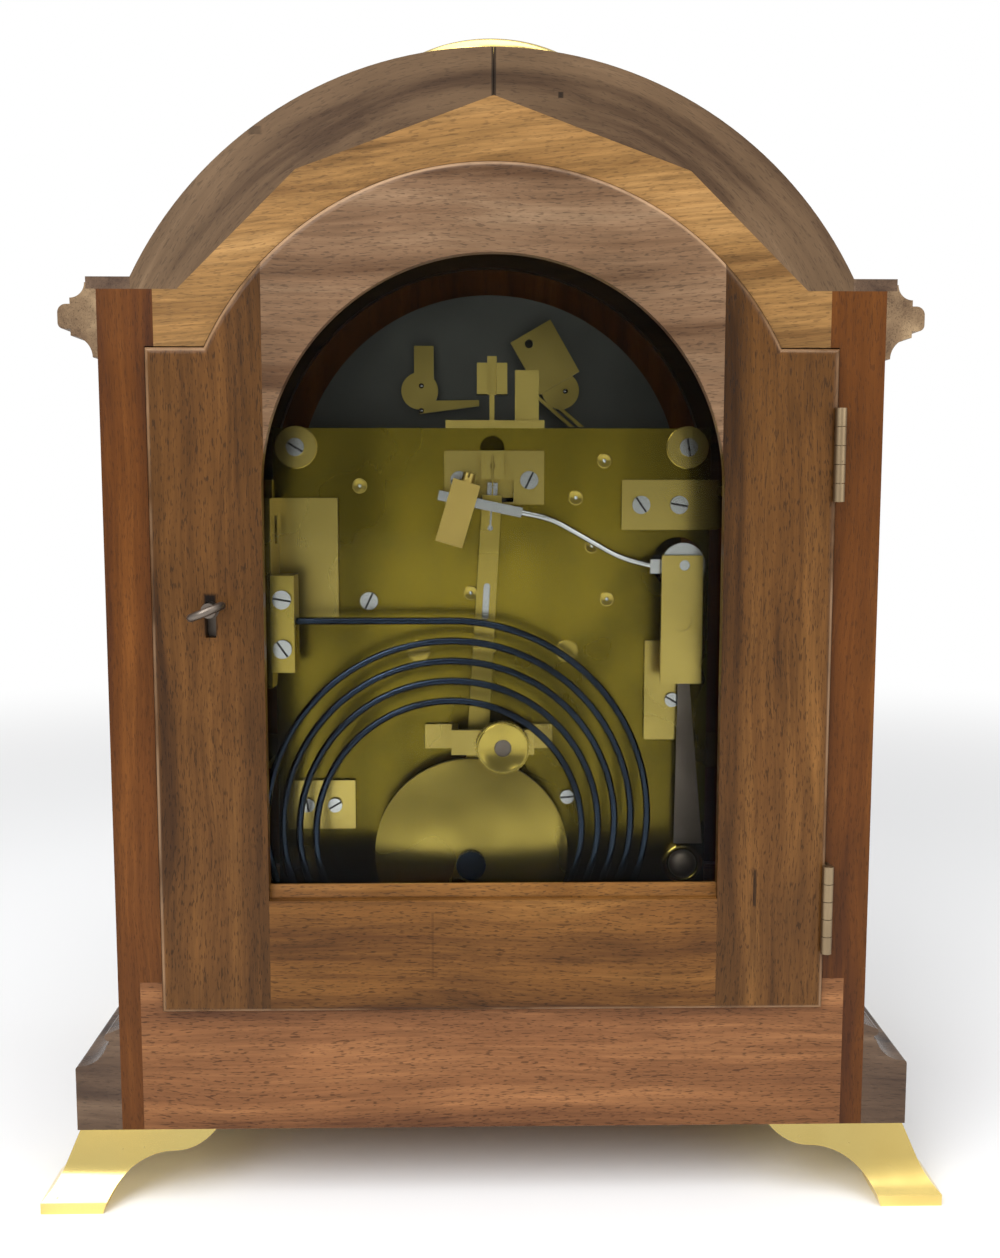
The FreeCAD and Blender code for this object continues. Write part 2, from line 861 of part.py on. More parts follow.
def moulding(label, profile, reach, inner_end):
    """A length of moulding along one side, and its return across the front, mitred together."""
    pieces = []
    far = reach + 1
    for side, out in (("left", -1), ("right", 1)):
        run = prism(f"{label}_{side}_run", "XZ", [profile(out * half_width, out)],
                    front_y - far, back_y)
        corner = [(out * half_width, front_y), (out * (half_width + far), front_y - far),
                  (out * half_width, front_y - far)]
        wedge = prism(f"{label}_{side}_wedge", "XY", [corner], case_bottom - 1, cap_top + 1)
        pieces.append(cut(f"{label}_{side}", run, [wedge]))
    for side, out in (("left", -1), ("right", 1)):
        start = out * inner_end
        end = out * (half_width + far)
        low, high = (start, end) if out > 0 else (end, start)
        run = prism(f"{label}_front_{side}_run", "YZ", [profile(front_y, -1)], low, high)
        corner = [(out * half_width, front_y), (out * (half_width + far), front_y - far),
                  (out * (half_width + far), front_y)]
        wedge = prism(f"{label}_front_{side}_wedge", "XY", [corner], case_bottom - 1, cap_top + 1)
        pieces.append(cut(f"{label}_front_{side}", run, [wedge]))
    return pieces


def mouldings():
    """The cornices at the shoulders and the moulding round the base."""
    left, right, front_left, front_right = moulding(
        "cornice", cornice_profile, D.cornice_out, door_hole)
    keep("cornices", group("cornices", [left, front_left, right, front_right]))
    left, right, front_left, front_right = moulding(
        "base", base_profile, D.base_out, as_size(0))
    keep("base_moulding", group("base_moulding", [
        left, right, fuse("base_front", [front_left, front_right])]))


def foot_profile(face, out):
    """A bracket foot's section: a straight shoulder, a flared toe, a pad and a hollow underside."""
    top = D.foot_height
    waist = D.foot_waist_height
    drop = top - waist
    shoulder = root(D.foot_waist_out * D.foot_waist_out + drop * drop)
    normal_x = drop / shoulder
    normal_z = D.foot_waist_out / shoulder
    chord_x = D.foot_flare - D.foot_waist_out
    chord_z = D.foot_pad - waist
    chord = chord_x * chord_x + chord_z * chord_z
    flare = chord / (2 * (chord_x * normal_x + chord_z * normal_z))
    cove_top = top - D.foot_web
    cove = (D.foot_cove * D.foot_cove + cove_top * cove_top) / (2 * cove_top)
    tail = D.foot_reach - D.foot_leg - D.foot_cove
    curl = (tail * tail + D.foot_web * D.foot_web) / (2 * D.foot_web)
    cove_x = -(D.foot_leg + D.foot_cove)
    return [(face - out * D.foot_reach, top), (face, top),
            (face + out * D.foot_waist_out, waist,
             face + out * (D.foot_waist_out + flare * normal_x), waist + flare * normal_z, out),
            (face + out * D.foot_flare, D.foot_pad), (face + out * D.foot_flare, 0),
            (face - out * D.foot_leg, 0, face + out * cove_x, cove_top - cove, out),
            (face + out * cove_x, cove_top, face + out * cove_x, cove_top + curl, -out)]


def feet():
    """Four cast bracket feet, each the same section run both ways from its corner."""
    side_x = half_width + D.base_out - D.foot_set_back
    front_foot_y = front_y - D.base_out + D.foot_set_back
    castings = []
    for end, face, out in (("rear", back_y, 1), ("front", front_foot_y, -1)):
        for side, sign in (("left", -1), ("right", 1)):
            across = prism(f"foot_{end}_{side}_across", "XZ", [foot_profile(sign * side_x, sign)],
                           front_foot_y - D.foot_flare - 1, back_y + D.foot_flare + 1)
            along = prism(f"foot_{end}_{side}_along", "YZ", [foot_profile(face, out)],
                          -side_x - D.foot_flare - 1, side_x + D.foot_flare + 1)
            castings.append(common(f"foot_{end}_{side}", across, along))
    keep("feet", group("feet", castings))


# ---------------------------------------------------------------- the carrying handle

handle_axis_y = middle_y
handle_axis_z = D.handle_pivot_height


def handle_posts():
    """Two turned posts on the roof, bored for the pins of the handle."""
    roof = rod("roof_form", "Y", (0, front_y - 1, D.roof_centre_height), D.case_depth + 2,
               D.roof_radius)
    posts = []
    reach = D.handle_half + D.post_base
    foot_z = D.roof_centre_height + root(D.roof_radius * D.roof_radius - reach * reach)
    flange_top = (D.roof_centre_height + D.post_flange
                  + root(D.roof_radius * D.roof_radius - D.handle_half * D.handle_half))
    neck_z = handle_axis_z - D.post_ball
    for side, sign in (("left", -1), ("right", 1)):
        x = sign * D.handle_half
        flange = rod(f"post_{side}_flange", "Z", (x, handle_axis_y, foot_z),
                     flange_top - foot_z, D.post_base)
        vase = cone(f"post_{side}_vase", "Z", (x, handle_axis_y, flange_top),
                    D.post_vase, D.post_ball, D.post_stem)
        stem = rod(f"post_{side}_stem", "Z", (x, handle_axis_y, foot_z),
                   handle_axis_z - foot_z, D.post_stem)
        collar = rod(f"post_{side}_collar", "Z", (x, handle_axis_y, neck_z - D.post_flange),
                     D.post_flange, D.post_collar)
        head = ball(f"post_{side}_head", (x, handle_axis_y, handle_axis_z), D.post_ball)
        solid = fuse(f"post_{side}_solid", [flange, vase, stem, collar, head])
        bore = rod(f"post_{side}_bore", "X", (x - D.post_ball - 1, handle_axis_y, handle_axis_z),
                   D.post_ball * 2 + 2, D.handle_pin_radius + D.pivot_clearance)
        posts.append(cut(f"post_{side}", solid, [roof, bore]))
    keep("handle_posts", group("handle_posts", posts))


def carrying_handle():
    """A swelling brass bail, lofted through circles along its curve and leaning to the rear."""
    inner = real(D.handle_half) - real(D.post_ball) - real(D.door_seat_gap)
    reach = real(D.handle_reach)
    shoulder = real(D.handle_shoulder)
    bar_half = min(real(D.handle_bar_half), inner)
    sag = reach - shoulder
    bend = (bar_half * bar_half + sag * sag) / (2 * sag)
    thick = real(D.handle_thick)
    thin = real(D.handle_thin)
    stations = []
    steps = 10
    sweep = math.asin(bar_half / bend)
    for step in range(-steps, steps + 1):
        angle = sweep * step / steps
        swell = math.cos(math.pi / 2 * step / steps)
        stations.append((bend * math.sin(angle), reach - bend + bend * math.cos(angle), angle,
                         thin + (thick - thin) * swell))
    circles = []
    for x, rise, angle, radius in stations:
        centre = FreeCAD.Vector(x, 0, rise)
        along = FreeCAD.Vector(math.cos(angle), 0, -math.sin(angle))
        circles.append(Part.Wire(Part.Circle(centre, along, radius).toShape()))
    bar = Part.makeLoft(circles, True)
    arms = []
    for sign in (-1, 1):
        corner = FreeCAD.Vector(sign * bar_half, 0, shoulder)
        eye = FreeCAD.Vector(sign * inner, 0, 0)
        eye = eye - FreeCAD.Vector(sign * thin, 0, 0)
        arm = Part.makeCylinder(thin, (eye - corner).Length, corner, eye - corner)
        pin = Part.makeCylinder(real(D.handle_pin_radius), real(D.post_ball) * 2 + thin, eye,
                                FreeCAD.Vector(sign, 0, 0))
        arms += [Part.makeSphere(thin, corner), arm, Part.makeSphere(thin, eye), pin]
    shape = bar.multiFuse(arms).removeSplitter()
    lean = FreeCAD.Rotation(FreeCAD.Vector(1, 0, 0), real(D.handle_lean) - 90)
    centre = FreeCAD.Vector(0, real(handle_axis_y), real(handle_axis_z))
    keep("carrying_handle", shaped("carrying_handle", shape, FreeCAD.Placement(centre, lean)))


# ---------------------------------------------------------------- the doors

door_face = back_y + D.door_proud
door_inner = back_y - D.rebate_depth + D.door_seat_gap
front_door_face = front_y - D.door_proud
front_door_inner = front_y + D.rebate_depth - D.door_seat_gap
hinge_x = door_half + D.door_gap / 2
lock_middle_y = door_face - D.door_proud - D.rebate_depth / 2
bolt_rear = lock_middle_y + D.bolt_thickness / 2
bolt_low = D.key_height + D.key_bit + D.bolt_clearance


def door_blank(rear):
    """A whole door in one piece: arched outline, opening, glass rebate and rounded edges."""
    name = "rear_door" if rear else "front_door"
    low, high = (door_inner, door_face) if rear else (front_door_face, front_door_inner)
    pocket_low = door_inner if rear else front_door_face + D.glass_lip
    pocket_high = door_face - D.glass_lip if rear else front_door_inner
    pocket = opening_outline(D.glass_lap)
    body = prism(f"{name}_blank", "XZ", [door_outline(as_size(0)), opening_outline(as_size(0))],
                 low, high, [("XZ", [pocket], pocket_low, pocket_high)])
    document.recompute()
    face = real(high if rear else low)
    edges = []
    tip = body.Tip
    for number, edge in enumerate(tip.Shape.Edges, start=1):
        box = edge.BoundBox
        if abs(box.YMin - face) > 1e-6 or abs(box.YMax - face) > 1e-6:
            continue
        point = edge.valueAt((edge.FirstParameter + edge.LastParameter) / 2)
        outside = abs(point.x) > real(opening_half) + 1 or point.z < real(D.opening_bottom) - 1
        radius = math.hypot(point.x, point.z - real(D.arch_centre_height))
        if outside or (radius > real(opening_half) + 1 and point.z > real(D.arch_centre_height)):
            edges.append(f"Edge{number}")
    fillet = body.newObject("PartDesign::Fillet", f"{name}_rounding")
    fillet.Base = (tip, edges)
    bind(fillet, "Radius", D.door_rounding)
    body.Tip = fillet
    return body


def member_outlines():
    """Where the door's members lie: joints run plumb down the stiles' inner edges."""
    joint = opening_half - D.rail_joint_inset
    foot = root(opening_radius * opening_radius - joint * joint)
    joint_low = D.arch_centre_height + foot
    far = door_half + 1
    top = D.arch_centre_height + D.door_arch_radius + 1
    bottom = D.door_bottom - 1
    stile = [(opening_half, bottom), (far, bottom), (far, top), (joint, top),
             (joint, joint_low, 0, D.arch_centre_height, -1), (opening_half, D.arch_centre_height)]
    arch = rectangle(-joint, joint_low - 1, joint, top)
    low_rail = rectangle(-opening_half, bottom, opening_half, D.opening_bottom + 1)
    return stile, arch, low_rail


def hinge_notches(rear, side_sign):
    """The room cut in a door's edge for the hinge knuckles and for the door's hinge leaves."""
    tools = []
    axis_y = hinge_axis_y(rear)
    for number, low in enumerate((D.hinge_low, D.hinge_high), start=1):
        tools.append(rod(f"hinge_room_{rear}_{number}", "Z",
                         (side_sign * hinge_x, axis_y, low - D.knuckle_gap),
                         D.hinge_height + D.knuckle_gap * 2, D.knuckle_radius + D.door_seat_gap))
        tools.append(leaf_block(f"leaf_room_{rear}_{number}", rear, side_sign, low, True))
    return tools


def hinge_axis_y(rear):
    """The line of a door's hinge pins, just proud of the door's face."""
    return door_face + D.hinge_axis_proud if rear else front_door_face - D.hinge_axis_proud


def leaf_block(label, rear, side_sign, low, on_door):
    """One hinge leaf's plate, let into the door's edge or into the case beside it."""
    axis_y = hinge_axis_y(rear)
    depth = D.hinge_leaf_depth
    inner_y = back_y - depth if rear else front_y + depth
    edge = door_half if on_door else door_hole
    inward = edge - D.hinge_leaf if on_door else edge + D.hinge_leaf
    x_low, x_high = (inward, edge) if on_door else (edge, inward)
    if side_sign < 0:
        x_low, x_high = -x_high, -x_low
    y_low, y_high = (inner_y, axis_y) if rear else (axis_y, inner_y)
    return block(label, (x_low, y_low, low), (x_high, y_high, low + D.hinge_height))


def hinge_half(rear, side_sign, low, on_door, name):
    """A hinge leaf with its knuckles: three on the case, with the pin, and two on the door."""
    axis_y = hinge_axis_y(rear)
    length = D.hinge_height / 5
    gap = D.knuckle_gap / 2
    x = side_sign * hinge_x
    leaf = leaf_block(f"{name}_leaf", rear, side_sign, low, on_door)
    knuckles = []
    spaces = []
    for number in range(5):
        mine = (number % 2 == 1) == on_door
        start = low + length * number
        if mine:
            knuckles.append(rod(f"{name}_knuckle_{number}", "Z", (x, axis_y, start + gap),
                                length - gap * 2, D.knuckle_radius))
        else:
            spaces.append(rod(f"{name}_space_{number}", "Z", (x, axis_y, start - gap),
                              length + gap * 2, D.knuckle_radius + D.door_seat_gap / 2))
    pin_hole = rod(f"{name}_hole", "Z", (x, axis_y, low - 1), D.hinge_height + 2,
                   D.hinge_pin_radius + D.hinge_clearance)
    cleared = cut(f"{name}_cleared", leaf, spaces)
    half = cut(f"{name}_half", fuse(f"{name}_joined", [cleared] + knuckles), [pin_hole])
    if on_door:
        return [half]
    pin = rod(f"{name}_pin", "Z", (x, axis_y, low), D.hinge_height, D.hinge_pin_radius)
    return [half, pin]


def hinges():
    """Two butt hinges to each door, on the left of the case."""
    case_parts = []
    for rear in (True, False):
        name = "rear" if rear else "front"
        door_parts = []
        for number, low in enumerate((D.hinge_low, D.hinge_high), start=1):
            case_parts += hinge_half(rear, -1, low, False, f"{name}_case_hinge_{number}")
            door_parts += hinge_half(rear, -1, low, True, f"{name}_door_hinge_{number}")
        keep(f"{name}_door_hinges", group(f"{name}_door_hinges", door_parts))
    keep("case_hinges", group("case_hinges", case_parts))


def leaf_recesses(rear):
    """What the case side loses to the two hinge leaves of one door."""
    tools = []
    for number, low in enumerate((D.hinge_low, D.hinge_high), start=1):
        tools.append(leaf_block(f"case_leaf_room_{rear}_{number}", rear, -1, low, False))
    return tools


def keyhole(low_y, high_y):
    """The keyhole's shape: a round hole over a slot."""
    hole = rod("keyhole_round", "Y", (D.key_x, low_y, D.key_height), high_y - low_y,
               D.keyhole_radius)
    slot = block("keyhole_slot",
                 (D.key_x - D.keyhole_slot / 2, low_y, D.key_height - D.keyhole_drop),
                 (D.key_x + D.keyhole_slot / 2, high_y, D.key_height))
    return fuse("keyhole_form", [hole, slot])


def lock_space():
    """The mortise for the lock in the stile, open to the door's inner face."""
    return block("lock_mortise",
                 (D.key_x - D.lock_width / 2, door_inner - 1, lock_low),
                 (D.key_x + D.lock_width / 2, lock_rear, lock_low + D.lock_height))


lock_rear = lock_middle_y + D.lock_depth / 2
lock_front = lock_middle_y - D.lock_depth / 2
lock_low = D.key_height - D.lock_height / 2 + D.bolt_height / 2


def bolt_way(label, margin):
    """The straight way that the lock bolt takes through the lock and the stile."""
    return block(label,
                 (D.key_x, bolt_rear - D.bolt_thickness - margin, bolt_low - margin),
                 (door_half + 1, bolt_rear + margin, bolt_low + D.bolt_height + margin))


def rear_door():
    """The glazed rear door: two stiles, an arched rail and a low rail with its sill bead."""
    blank = door_blank(True)
    stile, arch, low_rail = member_outlines()
    parts = {}
    for side in ("left", "right"):
        region = prism(f"stile_{side}_region", "XZ", [for_side(side, stile)],
                       door_inner - 1, door_face + 1)
        parts[side] = common(f"stile_{side}_plain", blank, region)
    tools = hinge_notches(True, -1)
    keep("rear_door_stile_left", cut("stile_left", parts["left"], tools))
    keep("rear_door_stile_right", cut("stile_right", parts["right"],
                                      [keyhole(door_inner - 1, door_face + 1), lock_space(),
                                       bolt_way("bolt_way_stile", D.bolt_clearance)]))
    region = prism("arch_rail_region", "XZ", [arch], door_inner - 1, door_face + 1)
    keep("rear_door_arch_rail", common("arch_rail", blank, region))
    region = prism("low_rail_region", "XZ", [low_rail], door_inner - 1, door_face + 1)
    plain = common("low_rail_plain", blank, region)
    sill = prism("sill_bead", "YZ", [[
        (door_face - D.glass_lip, D.opening_bottom), (door_face - D.door_rounding, D.opening_bottom),
        (door_face - D.glass_lip + D.sill_depth - D.door_rounding, D.opening_bottom + 1),
        (door_face - D.glass_lip + 1, D.opening_bottom + D.sill_height),
        (door_face - D.glass_lip, D.opening_bottom + D.sill_height)]],
        -opening_half, opening_half)
    keep("rear_door_bottom_rail", fuse("low_rail", [plain, sill]))


def glass(rear):
    """An arched pane in the rebate of its door."""
    name = "rear_glass" if rear else "front_glass"
    outline = opening_outline(D.glass_lap - D.glass_gap)
    if rear:
        high = door_face - D.glass_lip
        low = high - D.glass_thickness
    else:
        low = front_door_face + D.glass_lip
        high = low + D.glass_thickness
    keep(name, prism(name, "XZ", [outline], low, high))


def lock_and_key():
    """A cut lock with a sliding bolt, worked by a bowed key that is left in the door."""
    wall = D.lock_wall
    outside = block("lock_outside",
                    (D.key_x - D.lock_width / 2, lock_front, lock_low),
                    (D.key_x + D.lock_width / 2, lock_rear, lock_low + D.lock_height))
    inside = block("lock_inside",
                   (D.key_x - D.lock_width / 2 + wall, lock_front + wall, lock_low + wall),
                   (D.key_x + D.lock_width / 2 - wall, lock_rear - wall,
                    lock_low + D.lock_height - wall))
    key_way = rod("lock_key_way", "Y", (D.key_x, lock_rear - wall - 1, D.key_height), wall + 2,
                  D.key_shank_radius + D.pivot_clearance)
    keep("rear_lock", cut("rear_lock", outside,
                          [inside, key_way, bolt_way("bolt_way_lock", D.bolt_clearance)]))
    bolt_start = D.key_x - D.lock_width / 2 + wall + D.bolt_clearance
    keep("rear_lock_bolt", block(
        "rear_lock_bolt", (bolt_start, bolt_rear - D.bolt_thickness, bolt_low),
        (door_half - D.door_seat_gap, bolt_rear, bolt_low + D.bolt_height)))
    bow_y = door_face + D.key_standout - D.key_bow_radius - D.key_bow_wire
    shank_low = lock_front + wall + D.bolt_clearance
    shank = Part.makeCylinder(real(D.key_shank_radius), real(bow_y - shank_low - D.key_bow_radius),
                              FreeCAD.Vector(0, real(shank_low), 0), FreeCAD.Vector(0, 1, 0))
    collar = Part.makeCylinder(real(D.key_collar_radius), 2.0,
                               FreeCAD.Vector(0, real(door_face + 2), 0), FreeCAD.Vector(0, 1, 0))
    bow = Part.makeTorus(real(D.key_bow_radius), real(D.key_bow_wire),
                         FreeCAD.Vector(0, real(bow_y), 0), FreeCAD.Vector(0, 0, 1))
    bit_low = real(shank_low)
    bit = Part.makeBox(1.6, 2.4, real(D.key_bit), FreeCAD.Vector(-0.8, bit_low, -real(D.key_bit)))
    shape = shank.multiFuse([collar, bow, bit]).removeSplitter()
    turn = FreeCAD.Rotation(FreeCAD.Vector(0, 1, 0), real(D.key_bow_tilt))
    centre = FreeCAD.Vector(real(D.key_x), 0, real(D.key_height))
    keep("rear_key", shaped("rear_key", shape, FreeCAD.Placement(centre, turn)))


def front_door():
    """The front door: a mahogany frame lined with a brass bezel."""
    blank = door_blank(False)
    keep("front_door_frame", cut("front_door_frame", blank, hinge_notches(False, -1)))
    outer = opening_outline(-D.glass_gap / 4)
    inner = opening_outline(-D.bezel_width)
    keep("front_bezel", prism("front_bezel", "XZ", [outer, inner],
                              front_door_face, front_door_face + D.glass_lip))


# ---------------------------------------------------------------- the dial and hands

def dial():
    """The arched dial plate with its four feet, and its silvered rings."""
    half = opening_half + D.dial_margin
    centre = D.arch_centre_height
    outline = [(-half, D.opening_bottom - D.dial_margin), (half, D.opening_bottom - D.dial_margin),
               (half, centre, 0, centre, 1), (-half, centre)]
    holes = [("circle", 0, D.centre_height, D.cannon_radius + D.hand_boss / 2)]
    for sign in (-1, 1):
        holes.append(("circle", sign * D.winding_x, D.winding_height, D.winding_hole))
        holes.append(("circle", sign * D.arch_ring_x, D.arch_ring_height,
                      D.lever_arbor_radius + D.pivot_clearance))
    plate = prism("dial_sheet", "XZ", [outline] + holes, dial_front, dial_back)
    feet_parts = [plate]
    for x in (-D.pillar_x, D.pillar_x):
        for z in (pillar_low + D.pillar_inset_low * 2, pillar_high - D.pillar_inset_high * 2):
            feet_parts.append(rod("dial_foot", "Y", (x, dial_back, z), D.dial_distance,
                                  D.dial_foot_radius))
    keep("dial_plate", fuse("dial_plate", feet_parts))
    rings = [prism("chapter_ring", "XZ",
                   [("circle", 0, D.centre_height, D.chapter_outer),
                    ("circle", 0, D.centre_height, D.chapter_inner)],
                   dial_front - D.ring_thickness, dial_front)]
    for sign in (-1, 1):
        x = sign * D.arch_ring_x
        rings.append(prism("arch_ring", "XZ",
                           [("circle", x, D.arch_ring_height, D.arch_ring_outer),
                            ("circle", x, D.arch_ring_height, D.arch_ring_inner)],
                           dial_front - D.ring_thickness, dial_front))
    keep("dial_rings", group("dial_rings", rings))


gong_y = back_y - D.gong_in
pillar_low = D.plate_bottom + D.pillar_inset_low
pillar_high = D.plate_top - D.pillar_inset_high
hour_hand_y = dial_front - D.ring_thickness - D.hand_gap
minute_hand_y = hour_hand_y - D.hand_thickness - D.hand_gap
arch_hand_y = dial_front - D.ring_thickness - D.hand_gap


def hand_outline(centre_z, length):
    """A plain tapering hand with a swelling before its point, drawn upright."""
    half = D.hand_width / 2
    stem = D.hand_width / 4
    swell = length * 0.62
    return [(-stem, centre_z), (stem, centre_z), (stem, centre_z + swell - half * 2),
            (half, centre_z + swell), (stem / 2, centre_z + swell + half * 2),
            (0, centre_z + length), (-stem / 2, centre_z + swell + half * 2),
            (-half, centre_z + swell), (-stem, centre_z + swell - half * 2)]


def turned(item, x, z, angle):
    """Turn a finished object about a Y axis at (x, z)."""
    centre = FreeCAD.Vector(real(x), 0, real(z))
    turn = FreeCAD.Rotation(FreeCAD.Vector(0, 1, 0), angle)
    item.Placement = FreeCAD.Placement(FreeCAD.Vector(), turn, centre).multiply(item.Placement)
    return item


def clock_hand(name, length, low, bore_radius, angle):
    """One of the two hands that tell the time, pierced for its pipe or arbor."""
    centre = D.centre_height
    thick = D.hand_thickness
    blade = prism(f"{name}_blade", "XZ", [hand_outline(centre, length)], low, low + thick)
    boss = rod(f"{name}_boss", "Y", (0, low, centre), thick, D.hand_boss)
    bore = rod(f"{name}_bore", "Y", (0, low - 1, centre), thick + 2, bore_radius)
    solid = fuse(f"{name}_solid", [blade, boss])
    keep(name, turned(cut(name, solid, [bore]), 0, centre, angle))


def arch_hand(name, x, angle, low, levers):
    """A small hand of the arch, its arbor and the levers that it works behind the dial."""
    z = D.arch_ring_height
    thick = D.hand_thickness
    half = D.hand_boss / 2
    pointer = prism(f"{name}_pointer", "XZ",
                    [[(x - half, z), (x + half, z), (x, z + D.arch_hand_length)]],
                    arch_hand_y - thick, arch_hand_y)
    boss = rod(f"{name}_boss", "Y", (x, arch_hand_y - thick, z), thick, half + thick)
    shaft = rod(f"{name}_arbor", "Y", (x, arch_hand_y, z), low + D.lever_thickness - arch_hand_y,
                D.lever_arbor_radius)
    disc = rod(f"{name}_disc", "Y", (x, low, z), D.lever_thickness, D.lever_disc_radius)
    keep(name, fuse(name, [turned(pointer, x, z, angle), boss, shaft, disc] + levers))


def regulation_levers(x, low):
    """The upright strap and the long lever of the regulation hand."""
    high = low + D.lever_thickness
    z = D.arch_ring_height
    strap = block("regulation_strap", (x - D.lever_strap_in, low, z),
                  (x - D.lever_strap_in + D.lever_strap_width, high, D.lever_strap_top))
    foot_z = z - D.lever_disc_radius
    tip_x = D.regulation_tip_x
    tip_z = D.regulation_tip_height
    lever = prism("regulation_lever", "XZ", [[
        (tip_x, tip_z - 1.4), (x, foot_z - D.lever_thickness), (x, foot_z + D.lever_thickness * 2),
        (tip_x, tip_z + 1.4)]], low, high)
    return [strap, lever]


def strike_levers(x, low):
    """The leaning plate and the two blades of the strike and silent hand."""
    high = low + D.lever_thickness
    z = D.arch_ring_height
    lean = math.radians(real(D.lever_plate_lean))
    along = (math.sin(lean) * 1.0, math.cos(lean) * 1.0)
    corner_x = x - D.lever_disc_radius
    corner_z = z + D.lever_disc_radius
    wide = D.lever_plate_width
    long = D.lever_plate_length
    plate = prism("strike_plate", "XZ", [[
        (corner_x, corner_z), (corner_x + wide * along[1], corner_z - wide * along[0]),
        (corner_x + wide * along[1] + long * along[0], corner_z - wide * along[0] + long * along[1]),
        (corner_x + long * along[0], corner_z + long * along[1])],
        ("circle", corner_x + long * 0.86, corner_z + long * 0.46, D.lever_arbor_radius * 1.2)],
        high, high + D.lever_thickness)
    parts = [plate]
    for shift in (0, D.lever_blade_step):
        top_x = x + D.lever_disc_radius + shift
        parts.append(prism("strike_blade", "XZ", [[
            (top_x, z), (x - D.lever_disc_radius - 2.5 + shift, z - D.lever_blade_drop),
            (x - D.lever_disc_radius + shift, z - D.lever_blade_drop),
            (top_x + D.lever_blade_width, z)]], low, high))
    return parts


def hands():
    """Hour and minute hands at ten past ten, and the two small hands of the arch."""
    thick = D.hand_thickness
    clock_hand("hour_hand", D.hour_length, hour_hand_y - thick, hour_pipe_outer, HOUR_ANGLE)
    clock_hand("minute_hand", D.minute_length, minute_hand_y - thick, D.arbor_radius, MINUTE_ANGLE)
    x = D.arch_ring_x
    arch_hand("regulation_hand", x, 0.0, regulation_y, regulation_levers(x, regulation_y))
    arch_hand("strike_silent_hand", -x, STRIKE_ANGLE, strike_y, strike_levers(-x, strike_y))


HOUR_ANGLE = 305.0
MINUTE_ANGLE = 60.0
STRIKE_ANGLE = -40.0
strike_y = dial_back + D.lever_in
regulation_y = strike_y - D.lever_thickness - D.hand_gap
hour_pipe_inner = D.cannon_radius + D.pivot_clearance
hour_pipe_outer = D.cannon_radius + D.hand_boss / 4


# ---------------------------------------------------------------- the movement's frame

def bored_plate(name, low, high, hammer_hole, extra_holes):
    """A brass plate with the pivot holes of the train."""
    clear = D.pivot_clearance
    outline = rectangle(-plate_half, D.plate_bottom, plate_half, D.plate_top)
    bore = D.arbor_radius + clear
    holes = [("circle", 0, D.centre_height, bore),
             ("circle", D.winding_x, D.winding_height, bore),
             ("circle", -D.winding_x, D.winding_height, bore),
             ("circle", D.third_x, D.third_height, D.arbor_radius / 2 + clear),
             ("circle", 0, D.escape_height, D.arbor_radius / 2 + clear),
             ("circle", -D.hammer_x, D.hammer_height, hammer_hole)]
    return prism(name, "XZ", [outline] + holes + extra_holes, low, high)


def plates():
    """The backplate with its window for the crutch, and the frontplate."""
    bore = D.arbor_radius + D.pivot_clearance
    small_bore = D.arbor_radius / 2 + D.pivot_clearance
    window = rectangle(-D.window_left, D.cock_bottom + 1, D.window_right, D.window_top)
    arch_hole = ("circle", 0, D.cock_top + D.plate_arch_radius / 4, D.plate_arch_radius)
    keep("backplate", bored_plate("backplate", plate_front, plate_rear, D.hammer_hole_radius,
                                  [window, arch_hole]))
    pallet_hole = ("circle", 0, D.flex_height, small_bore)
    motion_hole = ("circle", motion_x, motion_z, small_bore)
    keep("frontplate", bored_plate("frontplate", front_plate_front, front_plate_rear, bore,
                                   [pallet_hole, motion_hole]))


def pillars():
    """Four turned pillars between the plates, with a collar for the rear screws."""
    solids = []
    for x in (-D.pillar_x, D.pillar_x):
        for z in (pillar_low, pillar_high):
            post = rod("pillar_post", "Y", (x, front_plate_rear, z), D.plate_spacing,
                       D.pillar_radius)
            collar = rod("pillar_collar", "Y", (x, plate_rear, z), D.collar_thickness,
                         D.collar_radius)
            solids += [post, collar]
    keep("pillars", group("pillars", solids))


def screw(name, x, y, z, radius, head, turn=0.0):
    """A slotted cheese head standing on a face that looks to the rear."""
    top = rod(f"{name}_head", "Y", (x, y, z), head, radius)
    slot = block(f"{name}_slot", (x - D.screw_slot / 2, y + head / 2, z - radius),
                 (x + D.screw_slot / 2, y + head + 1, z + radius))
    return turned(cut(name, top, [slot]), x, z, turn)


SCREW_TURNS = (35.0, 80.0, 10.0, 120.0, 60.0, 155.0, 95.0)


